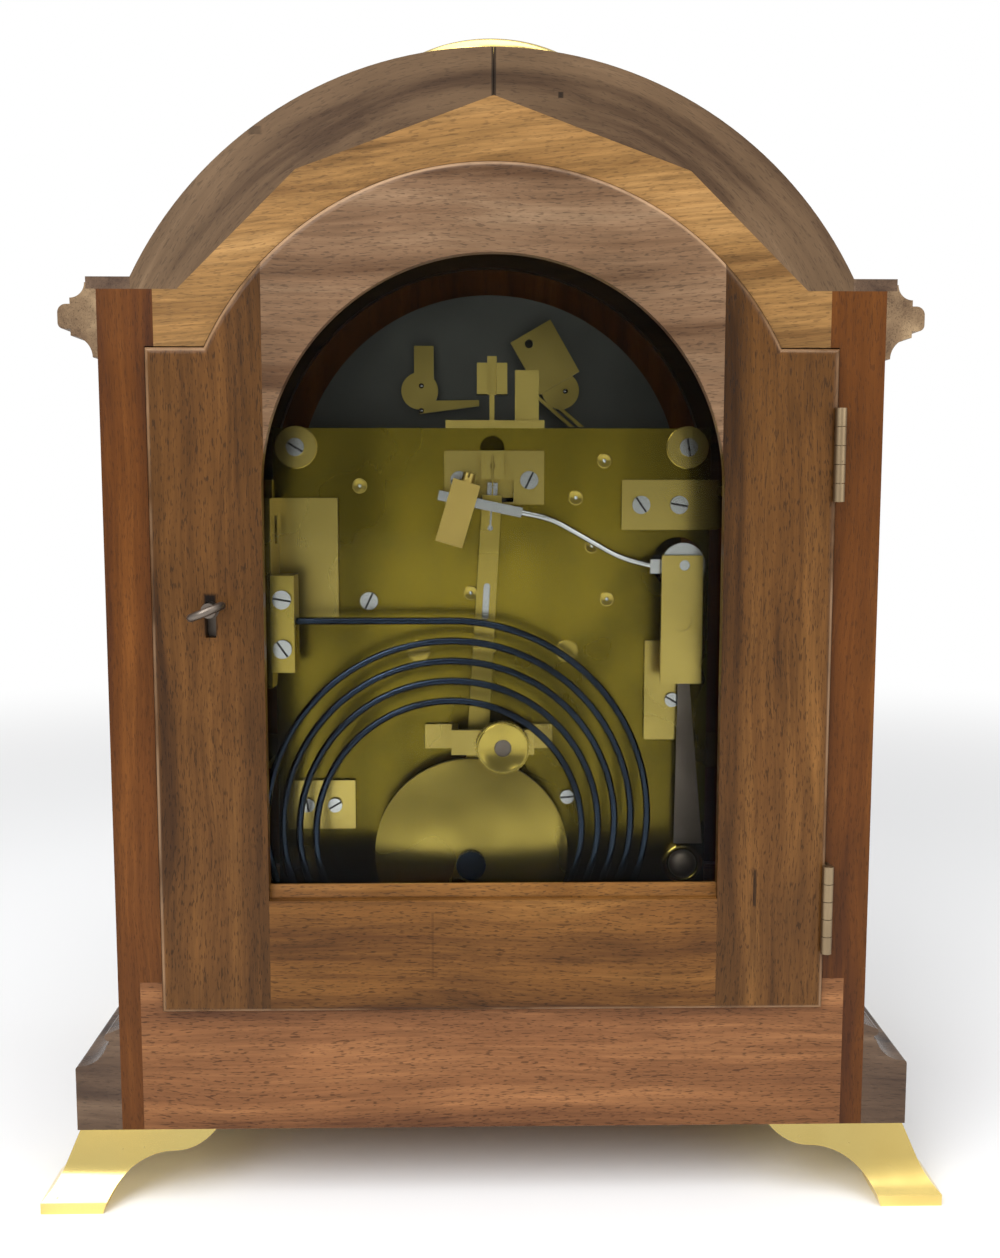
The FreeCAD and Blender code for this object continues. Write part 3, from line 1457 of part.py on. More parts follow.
def screw_places():
    """Where each screw head stands: its centre and its radius."""
    bracket = plate_rear + D.sheet_metal
    small = D.screw_radius * 0.8
    places = []
    for x in (-D.pillar_x, D.pillar_x):
        for z in (pillar_low, pillar_high):
            places.append((x, plate_rear + D.collar_thickness, z, D.screw_radius))
    cock_y = plate_rear + D.cock_thickness
    cock_z = (D.cock_bottom + D.cock_top) / 2 - 1
    places.append((-D.cock_left + D.cock_screw_inset, cock_y, cock_z, D.screw_radius))
    places.append((D.cock_right - D.cock_screw_inset, cock_y, cock_z, D.screw_radius))
    left_z = (D.left_bracket_low + D.left_bracket_high) / 2
    left_x = -(D.left_bracket_inner + D.bracket_screw_inset)
    places.append((left_x, bracket, left_z, D.screw_radius))
    places.append((left_x - D.bracket_screw_span, bracket, left_z, D.screw_radius))
    corner_z = (D.corner_plate_low + D.corner_plate_high) / 2
    places.append((D.corner_plate_outer - D.corner_screw_inset, bracket, corner_z, small))
    places.append((D.corner_plate_inner + D.corner_screw_inset, bracket, corner_z, small))
    guard_x = -(D.guard_plate_inner + D.guard_plate_outer) / 2
    places.append((guard_x - D.guard_screw_offset, bracket,
                   D.guard_plate_low + D.guard_screw_rise, small))
    places.append((D.upper_screw_x, plate_rear, D.upper_screw_height, D.screw_radius))
    places.append((-D.lower_screw_x, plate_rear, D.lower_screw_height, small))
    block_x = D.gong_block_x + D.gong_block_width / 2
    block_rear = gong_y + D.gong_block_depth / 2
    for z in (D.gong_block_low + D.gong_screw_inset, D.gong_block_high - D.gong_screw_inset):
        places.append((block_x, block_rear, z, D.screw_radius))
    return places


def plate_screws():
    """The screws seen from behind: pillars, cock, brackets and single plate screws."""
    screws = []
    for number, (x, y, z, radius) in enumerate(screw_places(), start=1):
        turn = SCREW_TURNS[number % len(SCREW_TURNS)]
        screws.append(screw(f"plate_screw_{number}", x, y, z, radius, D.screw_head, turn))
    keep("plate_screws", group("plate_screws", screws))


def back_cock():
    """The back cock, the slit suspension block and the upper half of the suspension spring."""
    window = rectangle(-D.window_left, D.cock_bottom + 1, D.window_right, D.window_top)
    cock_body = prism("cock_plate", "XZ",
                      [rectangle(-D.cock_left, D.cock_bottom, D.cock_right, D.cock_top), window],
                      plate_rear, plate_rear + D.cock_thickness)
    slit = D.block_slit / 2
    slit_piece = block("block_slit", (-slit, spring_front - 1, D.window_top + 0.3),
                       (slit, plate_rear + D.block_out + 1, D.block_top - 2))
    half = D.block_width / 2
    solid = block("suspension_solid", (-half, plate_rear + D.cock_thickness, D.window_top + 0.3),
                  (half, plate_rear + D.block_out, D.block_top))
    pin_hole = rod("suspension_pin_hole", "Y", (0, plate_rear + D.cock_thickness + 1,
                                                D.block_top - D.rod_head),
                   D.block_out, D.rod_hole_radius)
    suspension = cut("suspension_block", solid, [slit_piece, pin_hole])
    spring_half = D.spring_thickness / 2
    spring = block("spring_upper", (-spring_half, spring_front, D.flex_height + D.spring_gap / 2),
                   (spring_half, spring_front + D.spring_width, D.block_top - 2))
    bridge = block("pallet_bridge",
                   (-D.cock_left, plate_front - D.cock_thickness,
                    D.flex_height - D.crutch_width),
                   (D.cock_right, plate_front, D.flex_height + D.crutch_width))
    hole = rod("pallet_bridge_hole", "Y", (0, plate_front - D.cock_thickness - 1, D.flex_height),
               D.cock_thickness + 2, D.arbor_radius / 2 + D.pivot_clearance)
    keep("back_cock", group("back_cock", [cock_body, suspension, spring,
                                          cut("pallet_cock", bridge, [hole])]))


rod_middle_y = back_y - D.rod_in
spring_front = rod_middle_y - D.rod_thickness / 2


def plate_brackets():
    """Flat plates on the backplate, and the bridge that holds the holdfast knob."""
    metal = D.sheet_metal
    top = plate_rear + metal
    gong_side_low = D.gong_block_x + D.gong_block_width
    flange = prism("gong_bracket_flange", "XZ",
                   [rectangle(D.guard_plate_inner, D.gong_bracket_low,
                              gong_side_low, D.gong_bracket_high)], plate_rear, top)
    side = prism("gong_bracket_side", "YZ", [
        [(plate_rear, D.gong_bracket_low), (gong_out_y, D.gong_flange_low),
         (plate_rear + D.gong_bracket_reach, D.gong_flange_low),
         (plate_rear + D.gong_bracket_reach, D.gong_bracket_high),
         (plate_rear, D.gong_bracket_high)]],
        gong_side_low, gong_side_low + metal)
    hole_y = plate_rear + D.gong_hole_in
    hole_z = D.gong_bracket_low + D.gong_hole_rise
    hole = block("gong_bracket_hole", (gong_side_low - 1, hole_y, hole_z),
                 (gong_side_low + metal + 1, hole_y + D.gong_hole_depth,
                  hole_z + D.gong_hole_length))
    gong_bracket = cut("gong_bracket", fuse("gong_bracket_solid", [flange, side]), [hole])
    guard = prism("guard_plate", "XZ",
                  [rectangle(-D.guard_plate_outer, D.guard_plate_low,
                             -D.guard_plate_inner, D.guard_plate_high)], plate_rear, top)
    corner = prism("corner_plate", "XZ",
                   [rectangle(D.corner_plate_inner, D.corner_plate_low,
                              D.corner_plate_outer, D.corner_plate_high)], plate_rear, top)
    strap_y = back_y - D.holdfast_strap_in
    strap_rear = strap_y + D.holdfast_strap
    clear = D.holdfast_clear
    wall = metal
    left_end = -(clear + wall + D.holdfast_foot)
    right_end = clear + wall + D.holdfast_long_foot
    arch = prism("holdfast_arch", "XY", [[
        (left_end, plate_rear), (-clear, plate_rear), (-clear, strap_y), (clear, strap_y),
        (clear, plate_rear), (right_end, plate_rear), (right_end, top), (clear + wall, top),
        (clear + wall, strap_rear), (-(clear + wall), strap_rear), (-(clear + wall), top),
        (left_end, top)]],
        D.holdfast_low, D.holdfast_high)
    bore = rod("holdfast_bore", "Y", (-D.holdfast_x, strap_y - 1, D.holdfast_height),
               D.holdfast_strap + 2, D.holdfast_stem + D.pivot_clearance)
    keep("plate_brackets", group("plate_brackets",
                                 [gong_bracket, guard, corner, cut("holdfast_bridge", arch, [bore])]))


gong_out_y = back_y - D.gong_in - D.gong_block_depth / 2


def case_brackets():
    """Four bent straps that hold the movement's plates to the sides of the case."""
    metal = D.sheet_metal
    parts = []
    spans = ((-1, D.left_bracket_low, D.left_bracket_high, D.left_bracket_inner, plate_rear, 1),
             (1, D.left_bracket_low, D.left_bracket_high, plate_half, plate_rear, 1),
             (-1, D.lower_bracket_low, D.lower_bracket_high, D.guard_plate_outer,
              front_plate_front, -1),
             (1, D.lower_bracket_low, D.lower_bracket_high, D.guard_plate_outer,
              front_plate_front, -1))
    for number, (sign, low, high, inner, face, out) in enumerate(spans, start=1):
        plate_edge = plate_half + D.door_seat_gap
        back = face + out * metal
        run = face - out * D.case_bracket_run
        foot = run - out * D.case_bracket_foot
        points = [(inner, face), (plate_edge, face), (plate_edge, run), (inner_x - metal, run),
                  (inner_x - metal, foot), (inner_x, foot), (inner_x, run + out * metal),
                  (plate_edge + metal, run + out * metal), (plate_edge + metal, back),
                  (inner, back)]
        points = [(sign * as_size(x), y) for x, y in points]
        parts.append(prism(f"case_bracket_{number}", "XY", [points], low, high))
    keep("case_brackets", group("case_brackets", parts))


# ---------------------------------------------------------------- the train

def gear(teeth, module, tilt):
    """A toothed outline about the origin in the XZ plane, its first tooth at an angle tilt."""
    pitch = teeth * module / 2
    tip = pitch + module * 0.8
    foot = pitch - module * 1.3
    step = 2 * math.pi / teeth
    points = []
    for tooth in range(teeth):
        middle = tilt + step * tooth
        for radius, share in ((foot, -0.26), (tip, -0.09), (tip, 0.09), (foot, 0.26)):
            angle = middle + share * step
            points.append(FreeCAD.Vector(radius * math.cos(angle), 0, radius * math.sin(angle)))
    return Part.Face(Part.makePolygon(points + points[:1]))


def wheel(teeth, module, tilt, x, z, low, high):
    """A toothed wheel between two depths."""
    face = gear(round(real(teeth)), real(module), tilt)
    start = FreeCAD.Vector(real(x), real(low), real(z))
    face.translate(start)
    return face.extrude(FreeCAD.Vector(0, real(high) - real(low), 0))


def arbor(x, z, low, high, radius):
    """A round arbor between two depths, as a shape."""
    start = FreeCAD.Vector(real(x), real(low), real(z))
    return Part.makeCylinder(real(radius), real(high) - real(low), start, FreeCAD.Vector(0, 1, 0))


def module_for(distance, first, second):
    """The tooth size at which two wheels meet at a distance."""
    return 2 * real(distance) / (round(real(first)) + round(real(second)))


def distance_between(first, second):
    """The distance from one centre (x, z) to another."""
    return root((second[0] - first[0]) * (second[0] - first[0])
                + (second[1] - first[1]) * (second[1] - first[1]))


def heading(first, second):
    """The angle from one centre (x, z) to another."""
    return math.atan2(real(second[1]) - real(first[1]), real(second[0]) - real(first[0]))


def facing_gap(first, second, teeth):
    """The tooth angle at which a wheel at second shows a gap to a tooth coming from first."""
    return heading(second, first) + math.pi / round(real(teeth))


centre_point = (as_size(0), D.centre_height)
going_point = (D.winding_x, D.winding_height)
strike_point = (-D.winding_x, D.winding_height)
third_point = (D.third_x, D.third_height)
escape_point = (as_size(0), D.escape_height)
motion_x = D.motion_distance * 0.8
motion_z = D.centre_height - D.motion_distance * 0.6
motion_point = (motion_x, motion_z)


def barrel(node, point, depth_in, pins):
    """A great wheel on its spring barrel, with the arbor that is wound at the dial."""
    x, z = point
    high = plate_front - depth_in
    low = high - D.wheel_thickness
    module = module_for(distance_between(going_point, centre_point), D.great_teeth,
                        D.centre_pinion_teeth)
    tilt = heading(going_point, centre_point)
    parts = [wheel(D.great_teeth, module, tilt, x, z, low, high),
             arbor(x, z, low - D.barrel_length, low, D.barrel_radius),
             arbor(x, z, winding_end, plate_rear, D.arbor_radius)]
    if pins:
        count = 8
        for number in range(count):
            angle = 2 * math.pi * number / count
            pin_x = x + real(D.lifting_pin_circle) * math.cos(angle)
            pin_z = z + real(D.lifting_pin_circle) * math.sin(angle)
            parts.append(arbor(pin_x, pin_z, high, high + D.lifting_pin_length,
                               D.lifting_pin_radius))
    shape = parts[0].multiFuse(parts[1:]).removeSplitter()
    keep(node, shaped(node, shape))


winding_end = dial_front - 1.0


def train():
    """The going train: barrel, centre wheel, third wheel and escape wheel, all in mesh."""
    barrel("going_barrel", going_point, D.great_in, False)
    barrel("strike_barrel", strike_point, D.strike_in, True)
    thick = D.wheel_thickness
    x, z = centre_point
    great_low = plate_front - D.great_in - thick
    great_module = module_for(distance_between(going_point, centre_point), D.great_teeth,
                              D.centre_pinion_teeth)
    third_module = module_for(distance_between(centre_point, third_point), D.centre_teeth,
                              D.pinion_teeth)
    centre_high = plate_front - D.centre_in
    parts = [arbor(x, z, minute_hand_y - D.hand_thickness - 1, plate_rear, D.arbor_radius),
             wheel(D.centre_pinion_teeth, great_module,
                   facing_gap(going_point, centre_point, D.centre_pinion_teeth), x, z,
                   great_low - 0.5, great_low + thick + 0.5),
             wheel(D.centre_teeth, third_module, heading(centre_point, third_point), x, z,
                   centre_high - thick, centre_high),
             arbor(x, z, minute_hand_y, front_plate_front - 1, D.cannon_radius),
             wheel(D.cannon_teeth, module_for(D.motion_distance, D.cannon_teeth, D.minute_teeth),
                   heading(centre_point, motion_point), x, z, cannon_low, cannon_low + thick)]
    keep("centre_wheel", shaped("centre_wheel", parts[0].multiFuse(parts[1:]).removeSplitter()))
    x, z = third_point
    escape_module = module_for(distance_between(third_point, escape_point), D.third_teeth,
                               D.pinion_teeth)
    third_high = plate_front - D.third_in
    pivot = D.arbor_radius / 2
    parts = [arbor(x, z, front_plate_front, plate_rear, pivot),
             arbor(x, z, front_plate_rear + 1, plate_front - 1, D.arbor_radius * 0.75),
             wheel(D.pinion_teeth, third_module,
                   facing_gap(centre_point, third_point, D.pinion_teeth), x, z,
                   centre_high - thick - 0.5, centre_high + 0.5),
             wheel(D.third_teeth, escape_module, heading(third_point, escape_point), x, z,
                   third_high - thick, third_high)]
    keep("third_wheel", shaped("third_wheel", parts[0].multiFuse(parts[1:]).removeSplitter()))
    x, z = escape_point
    escape_high = plate_front - D.escape_in
    parts = [arbor(x, z, front_plate_front, plate_rear, pivot),
             arbor(x, z, front_plate_rear + 1, plate_front - 1, D.arbor_radius * 0.75),
             wheel(D.pinion_teeth, escape_module,
                   facing_gap(third_point, escape_point, D.pinion_teeth), x, z,
                   third_high - thick - 0.5, third_high + 0.5),
             escape_disc(x, z, escape_high - thick / 2, escape_high)]
    keep("escape_wheel", shaped("escape_wheel", parts[0].multiFuse(parts[1:]).removeSplitter()))


cannon_low = front_plate_front - 4.0 - D.wheel_thickness


def escape_disc(x, z, low, high):
    """An escape wheel with raked pointed teeth."""
    count = round(real(D.escape_teeth))
    tip = real(D.escape_radius)
    foot = tip * 0.8
    step = 2 * math.pi / count
    points = []
    for tooth in range(count):
        for radius, share in ((foot, 0.0), (tip, 0.1), (foot, 0.35)):
            angle = step * (tooth + share)
            points.append(FreeCAD.Vector(real(x) + radius * math.cos(angle), real(low),
                                         real(z) + radius * math.sin(angle)))
    face = Part.Face(Part.makePolygon(points + points[:1]))
    return face.extrude(FreeCAD.Vector(0, real(high) - real(low), 0))


def motion_work():
    """The minute wheel with its pinion, and the hour wheel on its pipe."""
    thick = D.wheel_thickness
    x, z = motion_point
    fine = module_for(D.motion_distance, D.cannon_teeth, D.minute_teeth)
    coarse = module_for(D.motion_distance, D.minute_pinion_teeth, D.hour_teeth)
    hour_high = cannon_low - 1.0
    parts = [arbor(x, z, hour_high - thick - 1.5, front_plate_rear, D.arbor_radius / 2),
             wheel(D.minute_teeth, fine, facing_gap(centre_point, motion_point, D.minute_teeth),
                   x, z, cannon_low + 0.25, cannon_low + thick - 0.25),
             wheel(D.minute_pinion_teeth, coarse, heading(motion_point, centre_point), x, z,
                   hour_high - thick - 0.5, cannon_low + 0.25)]
    keep("minute_wheel", shaped("minute_wheel", parts[0].multiFuse(parts[1:]).removeSplitter()))
    x, z = centre_point
    body = wheel(D.hour_teeth, coarse, facing_gap(motion_point, centre_point, D.hour_teeth), x, z,
                 hour_high - thick, hour_high)
    pipe = arbor(x, z, hour_hand_y - D.hand_thickness, hour_high, hour_pipe_outer)
    bore = arbor(x, z, hour_hand_y - D.hand_thickness - 1, hour_high + 1, hour_pipe_inner)
    keep("hour_wheel", shaped("hour_wheel", body.fuse(pipe).cut(bore).removeSplitter()))


# ---------------------------------------------------------------- the pendulum

def hung(item):
    """Turn what hangs on the suspension to the angle at which the clock is shown."""
    return turned(item, 0, D.flex_height, -real(D.pendulum_tilt))


def bob_lens():
    """The lens of the bob: two shallow domes on a narrow rim, about the Y axis."""
    radius = real(D.bob_radius)
    half = real(D.bob_thickness) / 2
    rim = real(D.bob_rim) / 2
    rise = half - rim
    top = FreeCAD.Vector(0, half, 0)
    edge = FreeCAD.Vector(radius, rim, 0)
    sphere = (radius * radius + rise * rise) / (2 * rise)
    turn = math.asin(radius / sphere) / 2
    middle = FreeCAD.Vector(sphere * math.sin(turn), half - sphere + sphere * math.cos(turn), 0)
    flip = FreeCAD.Vector(1, -1, 1)
    low = [FreeCAD.Vector(point.x, point.y * flip.y, 0) for point in (top, middle, edge)]
    wire = Part.Wire([Part.Arc(top, middle, edge).toShape(), Part.makeLine(edge, low[2]),
                      Part.Arc(low[2], low[1], low[0]).toShape(), Part.makeLine(low[0], top)])
    lens = Part.Face(wire).revolve(FreeCAD.Vector(), FreeCAD.Vector(0, 1, 0), 360)
    return lens


def pendulum():
    """Rod with its lower half of the spring, lens bob and the screw at the bob's centre."""
    top = D.flex_height - D.rod_head
    low = D.flex_height - D.pendulum_length - D.rod_tail
    rod_low_y = rod_middle_y - D.rod_thickness / 2
    rod_high_y = rod_middle_y + D.rod_thickness / 2
    wide = D.rod_low_width / 2
    narrow = D.rod_top_width / 2
    slot_top = D.flex_height - D.rod_slot_top
    slot_half = D.rod_slot_width / 2
    slot_low = slot_top - D.rod_slot_length
    slot = [(-slot_half, slot_low + slot_half, 0, slot_low + slot_half, 1),
            (slot_half, slot_low + slot_half), (slot_half, slot_top - slot_half,
                                                0, slot_top - slot_half, 1),
            (-slot_half, slot_top - slot_half)]
    hole_z = D.flex_height - D.rod_hole_drop
    slit = D.rod_slit_width / 2
    bar = prism("rod_bar", "XZ", [[(-wide, low), (wide, low), (narrow, top), (-narrow, top)], slot],
                rod_low_y, rod_high_y)
    slit_cut = block("rod_slit", (-slit, rod_low_y - 1, hole_z), (slit, rod_high_y + 1, top + 1))
    hole_cut = rod("rod_hole", "Y", (0, rod_low_y - 1, hole_z), D.rod_thickness + 2,
                   D.rod_hole_radius)
    pierced = cut("rod_pierced", bar, [slit_cut, hole_cut])
    spring_half = D.spring_thickness / 2
    spring = block("spring_lower", (-spring_half, spring_front, top - 2),
                   (spring_half, spring_front + D.spring_width,
                    D.flex_height - D.spring_gap / 2))
    clamp = block("spring_clamp", (-narrow, spring_front - 0.3, top - 0.5),
                  (narrow, spring_front + D.spring_width + 0.3, top + D.rod_head / 2))
    keep("pendulum_rod", hung(fuse("pendulum_rod", [pierced, clamp, spring])))
    bob_y = back_y - D.bob_in
    bob_z = D.flex_height - D.pendulum_length
    lens = shaped("bob_lens", bob_lens(),
                  FreeCAD.Placement(FreeCAD.Vector(0, real(bob_y), real(bob_z)), FreeCAD.Rotation()))
    channel = block("bob_channel", (-wide - 0.1, rod_low_y - D.bob_thickness, low - 0.1),
                    (wide + 0.1, rod_high_y + 0.1, D.flex_height))
    screw_z = bob_z - D.bob_screw_drop
    bore = rod("bob_screw_bore", "Y", (0, rod_high_y, screw_z), D.bob_thickness,
               D.crutch_pin_radius + D.pivot_clearance)
    keep("pendulum_bob", hung(cut("pendulum_bob", lens, [channel, bore])))
    bob_front = bob_y + D.bob_thickness / 2
    head = knurled("bob_screw_knob", D.bob_screw_radius, D.bob_screw_height, 24, 0.35)
    head.Placement = FreeCAD.Placement(
        FreeCAD.Vector(0, real(bob_front + D.door_seat_gap / 2), real(screw_z)), FreeCAD.Rotation())
    stem = rod("bob_screw_stem", "Y", (0, rod_high_y + 0.3, screw_z),
               bob_front - rod_high_y, D.crutch_pin_radius)
    keep("bob_screw", hung(fuse("bob_screw", [head, stem])))


def knurled(label, radius, height, count, depth):
    """A knurled disc along +Y: a round head with a saw-toothed rim."""
    rim = real(radius)
    points = []
    for number in range(count * 2):
        angle = math.pi * number / count
        reach = rim if number % 2 == 0 else rim - depth
        points.append(FreeCAD.Vector(reach * math.cos(angle), 0, reach * math.sin(angle)))
    face = Part.Face(Part.makePolygon(points + points[:1]))
    return shaped(label, face.extrude(FreeCAD.Vector(0, real(height), 0)))


def crutch():
    """The pallet arbor with its anchor, and the crutch whose pin works in the rod's slot."""
    pivot = D.arbor_radius / 2
    z = D.flex_height
    crutch_rear = rod_middle_y - D.rod_thickness / 2 - D.crutch_gap
    crutch_front = crutch_rear - D.crutch_thickness
    half = D.crutch_width / 2
    shaft = rod("pallet_shaft", "Y", (0, front_plate_front, z), crutch_rear - front_plate_front,
                pivot)
    arm = block("crutch_arm", (-half, crutch_front, z - D.crutch_length - half),
                (half, crutch_rear, z + half))
    pin = rod("crutch_pin", "Y", (0, crutch_front, z - D.crutch_length),
              D.crutch_thickness + D.crutch_gap + D.rod_thickness + 1.5, D.crutch_pin_radius)
    anchor_high = plate_front - D.escape_in + 0.5
    anchor_low = anchor_high - D.wheel_thickness / 2 - 1.0
    reach = D.escape_radius + 1.6
    drop = D.flex_height - D.escape_height
    nib_z = z - drop + reach * 0.45
    nib_x = reach * 0.92
    anchor = prism("anchor", "XZ", [[
        (0, z + 3), (-nib_x - 2.5, nib_z + 3), (-nib_x - 2.5, nib_z), (-nib_x, nib_z),
        (-nib_x + 0.5, nib_z + 4), (0, z - 4), (nib_x - 0.5, nib_z + 4), (nib_x, nib_z),
        (nib_x + 2.5, nib_z), (nib_x + 2.5, nib_z + 3)]], anchor_low, anchor_high)
    keep("crutch", hung(fuse("crutch", [shaft, arm, pin, anchor])))


# ---------------------------------------------------------------- the gong and its hammer

def gong():
    """The coil gong: one wire, straight from its block and then winding inwards by half turns."""
    wire_radius = real(D.gong_wire)
    y = real(back_y - D.gong_in)
    centre_x = real(D.gong_x)
    top = real(D.gong_top)
    radius = real(D.gong_radius)
    start = FreeCAD.Vector(real(D.gong_block_x), y, top)
    edges = [Part.makeLine(start, FreeCAD.Vector(centre_x, y, top))]
    points = [start]
    turns = round(real(D.gong_turns))
    for turn in range(turns):
        low = top - 2 * radius
        middle = top - radius
        corners = [FreeCAD.Vector(centre_x, y, top), FreeCAD.Vector(centre_x - radius, y, middle),
                   FreeCAD.Vector(centre_x, y, low)]
        edges += quarter_arcs(corners, FreeCAD.Vector(centre_x, y, middle), radius)
        if turn == turns - 1:
            break
        next_top = top - real(D.gong_top_pitch)
        back_radius = (next_top - low) / 2
        centre = FreeCAD.Vector(centre_x, y, low + back_radius)
        corners = [FreeCAD.Vector(centre_x, y, low),
                   FreeCAD.Vector(centre_x + back_radius, y, low + back_radius),
                   FreeCAD.Vector(centre_x, y, next_top)]
        edges += quarter_arcs(corners, centre, back_radius)
        top = next_top
        radius -= real(D.gong_side_pitch)
    path = Part.Wire(edges)
    section = Part.Wire(Part.Circle(start, FreeCAD.Vector(1, 0, 0), wire_radius).toShape())
    coil = path.makePipeShell([section], True, False)
    print("gong: least gap between turns", round(least_gap(edges) - 2 * wire_radius, 2), "mm")
    print("gong: volume over section times length",
          round(coil.Volume / (math.pi * wire_radius ** 2 * path.Length), 4))
    keep("gong", shaped("gong", coil))


def quarter_arcs(corners, centre, radius):
    """Two quarter turns through three corners about a centre."""
    arcs = []
    for first, last in zip(corners, corners[1:]):
        middle = (first + last) / 2 - centre
        middle.normalize()
        arcs.append(Part.Arc(first, centre + middle * radius, last).toShape())
    return arcs


def least_gap(edges):
    """The least distance between points of the wire's line that lie over half a turn apart."""
    points = []
    for edge in edges:
        points += edge.discretize(Number=30)[:-1]
    best = 1e9
    away = 70
    for number, point in enumerate(points):
        for other in points[number + away:]:
            best = min(best, point.distanceToPoint(other))
    return best


def gong_block():
    """The block that the gong's outer end is fixed in."""
    low = gong_y - D.gong_block_depth / 2
    keep("gong_block", block("gong_block", (D.gong_block_x, low, D.gong_block_low),
                             (D.gong_block_x + D.gong_block_width,
                              gong_y + D.gong_block_depth / 2, D.gong_block_high)))


def hammer():
    """The gong hammer: arbor, arm, bent wire and square bar, and the brass head clamped on it."""
    hub_x = -D.hammer_x
    hub_z = D.hammer_height
    arm_y = back_y - D.hammer_arm_in
    bar_y = back_y - D.hammer_in
    thick = D.hammer_boss_thickness
    shaft = arbor(hub_x, hub_z, front_plate_front, back_y - D.bridge_in - 0.5, D.arbor_radius)
    hub = arbor(hub_x, hub_z, arm_y - thick / 2, arm_y + thick / 2, D.hammer_boss_radius)
    bend = real(D.hammer_bend_length)
    arm_x = real(hub_x) + real(D.hammer_arm_offset)
    arm_wide = real(D.hammer_arm_width)
    arm_low = real(hub_z) - real(D.hammer_arm_drop)
    arm = Part.makeBox(real(D.hammer_arm_length), real(thick), arm_wide,
                       FreeCAD.Vector(arm_x, real(arm_y - thick / 2), arm_low))
    slope = math.radians(real(D.hammer_bar_slope))
    along = FreeCAD.Vector(math.cos(slope), 0, math.sin(slope))
    middle = FreeCAD.Vector(real(D.head_x) - real(D.hammer_bar_offset), real(bar_y),
                            real(D.head_height) + real(D.hammer_bar_rise))
    length = real(D.hammer_bar_length)
    side = real(D.hammer_bar)
    bar = Part.makeBox(length, side, side, FreeCAD.Vector(-length / 2, -side / 2, -side / 2))
    bar.Placement = FreeCAD.Placement(middle, FreeCAD.Rotation(FreeCAD.Vector(0, 1, 0),
                                                               -real(D.hammer_bar_slope)))
    end = middle - along * (length / 2 - 1.0)
    first = FreeCAD.Vector(arm_x + real(D.hammer_arm_length) - 1.0, real(arm_y),
                           arm_low + arm_wide / 2)
    second = first + FreeCAD.Vector(bend, 1.0, real(D.hammer_bend_rise))
    third = end - along * bend - FreeCAD.Vector(0, 0.6, 0)
    path = rounded_path([first, second, third, end])
    section = Part.Wire(Part.Circle(first, second - first, real(D.hammer_wire)).toShape())
    wire = path.makePipeShell([section], True, False)
    shape = shaft.multiFuse([hub, arm, wire, bar]).removeSplitter()
    tail_width = real(D.hammer_tail_width)
    tail = Part.makeBox(real(D.hammer_tail_length), real(D.hammer_tail_depth), tail_width,
                        FreeCAD.Vector(real(hub_x), real(tail_y), real(hub_z) - tail_width / 2))
    shape = shape.fuse(tail).removeSplitter()
    keep("gong_hammer", shaped("gong_hammer", shape))
    width = real(D.head_width)
    tall = real(D.head_length)
    deep = real(D.head_depth)
    head = Part.makeBox(width, deep, tall, FreeCAD.Vector(-width / 2, -deep / 2, -tall / 2))
    head.Placement = FreeCAD.Placement(
        FreeCAD.Vector(real(D.head_x), real(bar_y), real(D.head_height)),
        FreeCAD.Rotation(FreeCAD.Vector(0, 1, 0), -real(D.head_lean)))
    clamp = Part.makeCylinder(real(D.head_screw_radius), real(D.screw_head) * 2,
                              FreeCAD.Vector(0, 0, tall / 2))
    clamp.Placement = head.Placement
    slot = Part.makeBox(real(D.screw_slot), deep, real(D.screw_head),
                        FreeCAD.Vector(-real(D.screw_slot) / 2, -deep / 2,
                                       tall / 2 + real(D.screw_head)))
    slot.Placement = head.Placement
    keep("hammer_head", group("hammer_head", [
        shaped("hammer_block", head.cut(bar)), shaped("hammer_clamp_screw", clamp.cut(slot))]))


tail_y = plate_front - D.strike_in + D.lifting_pin_length + 3.0


def rounded_path(points):
    """Straight runs joined by tangent arcs as large as the runs allow."""
    edges = []
    start = points[0]
    for before, corner, after in zip(points, points[1:], points[2:]):
        first = before - corner
        second = after - corner
        setback = 0.45 * min(first.Length, second.Length)
        leave = corner + first.normalize() * setback
        enter = corner + second.normalize() * setback
        bisector = (first + second)
        bisector.normalize()
        half_turn = (math.pi - first.getAngle(second)) / 2
        radius = setback / math.tan(half_turn)
        centre = corner + bisector * (radius / math.cos(half_turn))
        top = corner - centre
        top.normalize()
        edges.append(Part.makeLine(start, leave))
        edges.append(Part.Arc(leave, centre + top * radius, enter).toShape())
        start = enter
    edges.append(Part.makeLine(start, points[-1]))
    return Part.Wire(edges)


def hammer_bridge():
    """The strap that carries the hammer's rear pivot, on two posts from the backplate."""
    high = back_y - D.bridge_in
    low = high - D.bridge_thickness
    radius = (D.bridge_left - D.bridge_right) / 2
    x = -(D.bridge_left + D.bridge_right) / 2
    hole = ("circle", -D.hammer_x, D.hammer_height, D.arbor_radius + D.pivot_clearance)
    strap = prism("bridge_strap", "XZ", [
        rectangle(-D.bridge_left, D.bridge_low, -D.bridge_right, D.bridge_high), hole], low, high)
    sink = rod("bridge_sink", "Y", (x, high - 1, D.bridge_screw_height), 2, radius / 2)
    posts = []
    guard_face = plate_rear + D.sheet_metal
    for z, foot in ((D.bridge_screw_height, plate_rear), (D.bridge_low + radius * 0.8, guard_face)):
        posts.append(rod("bridge_post", "Y", (x, foot, z), low - foot, D.bridge_post_radius))
    keep("hammer_bridge", group("hammer_bridge", [cut("bridge_plate", strap, [sink])] + posts))


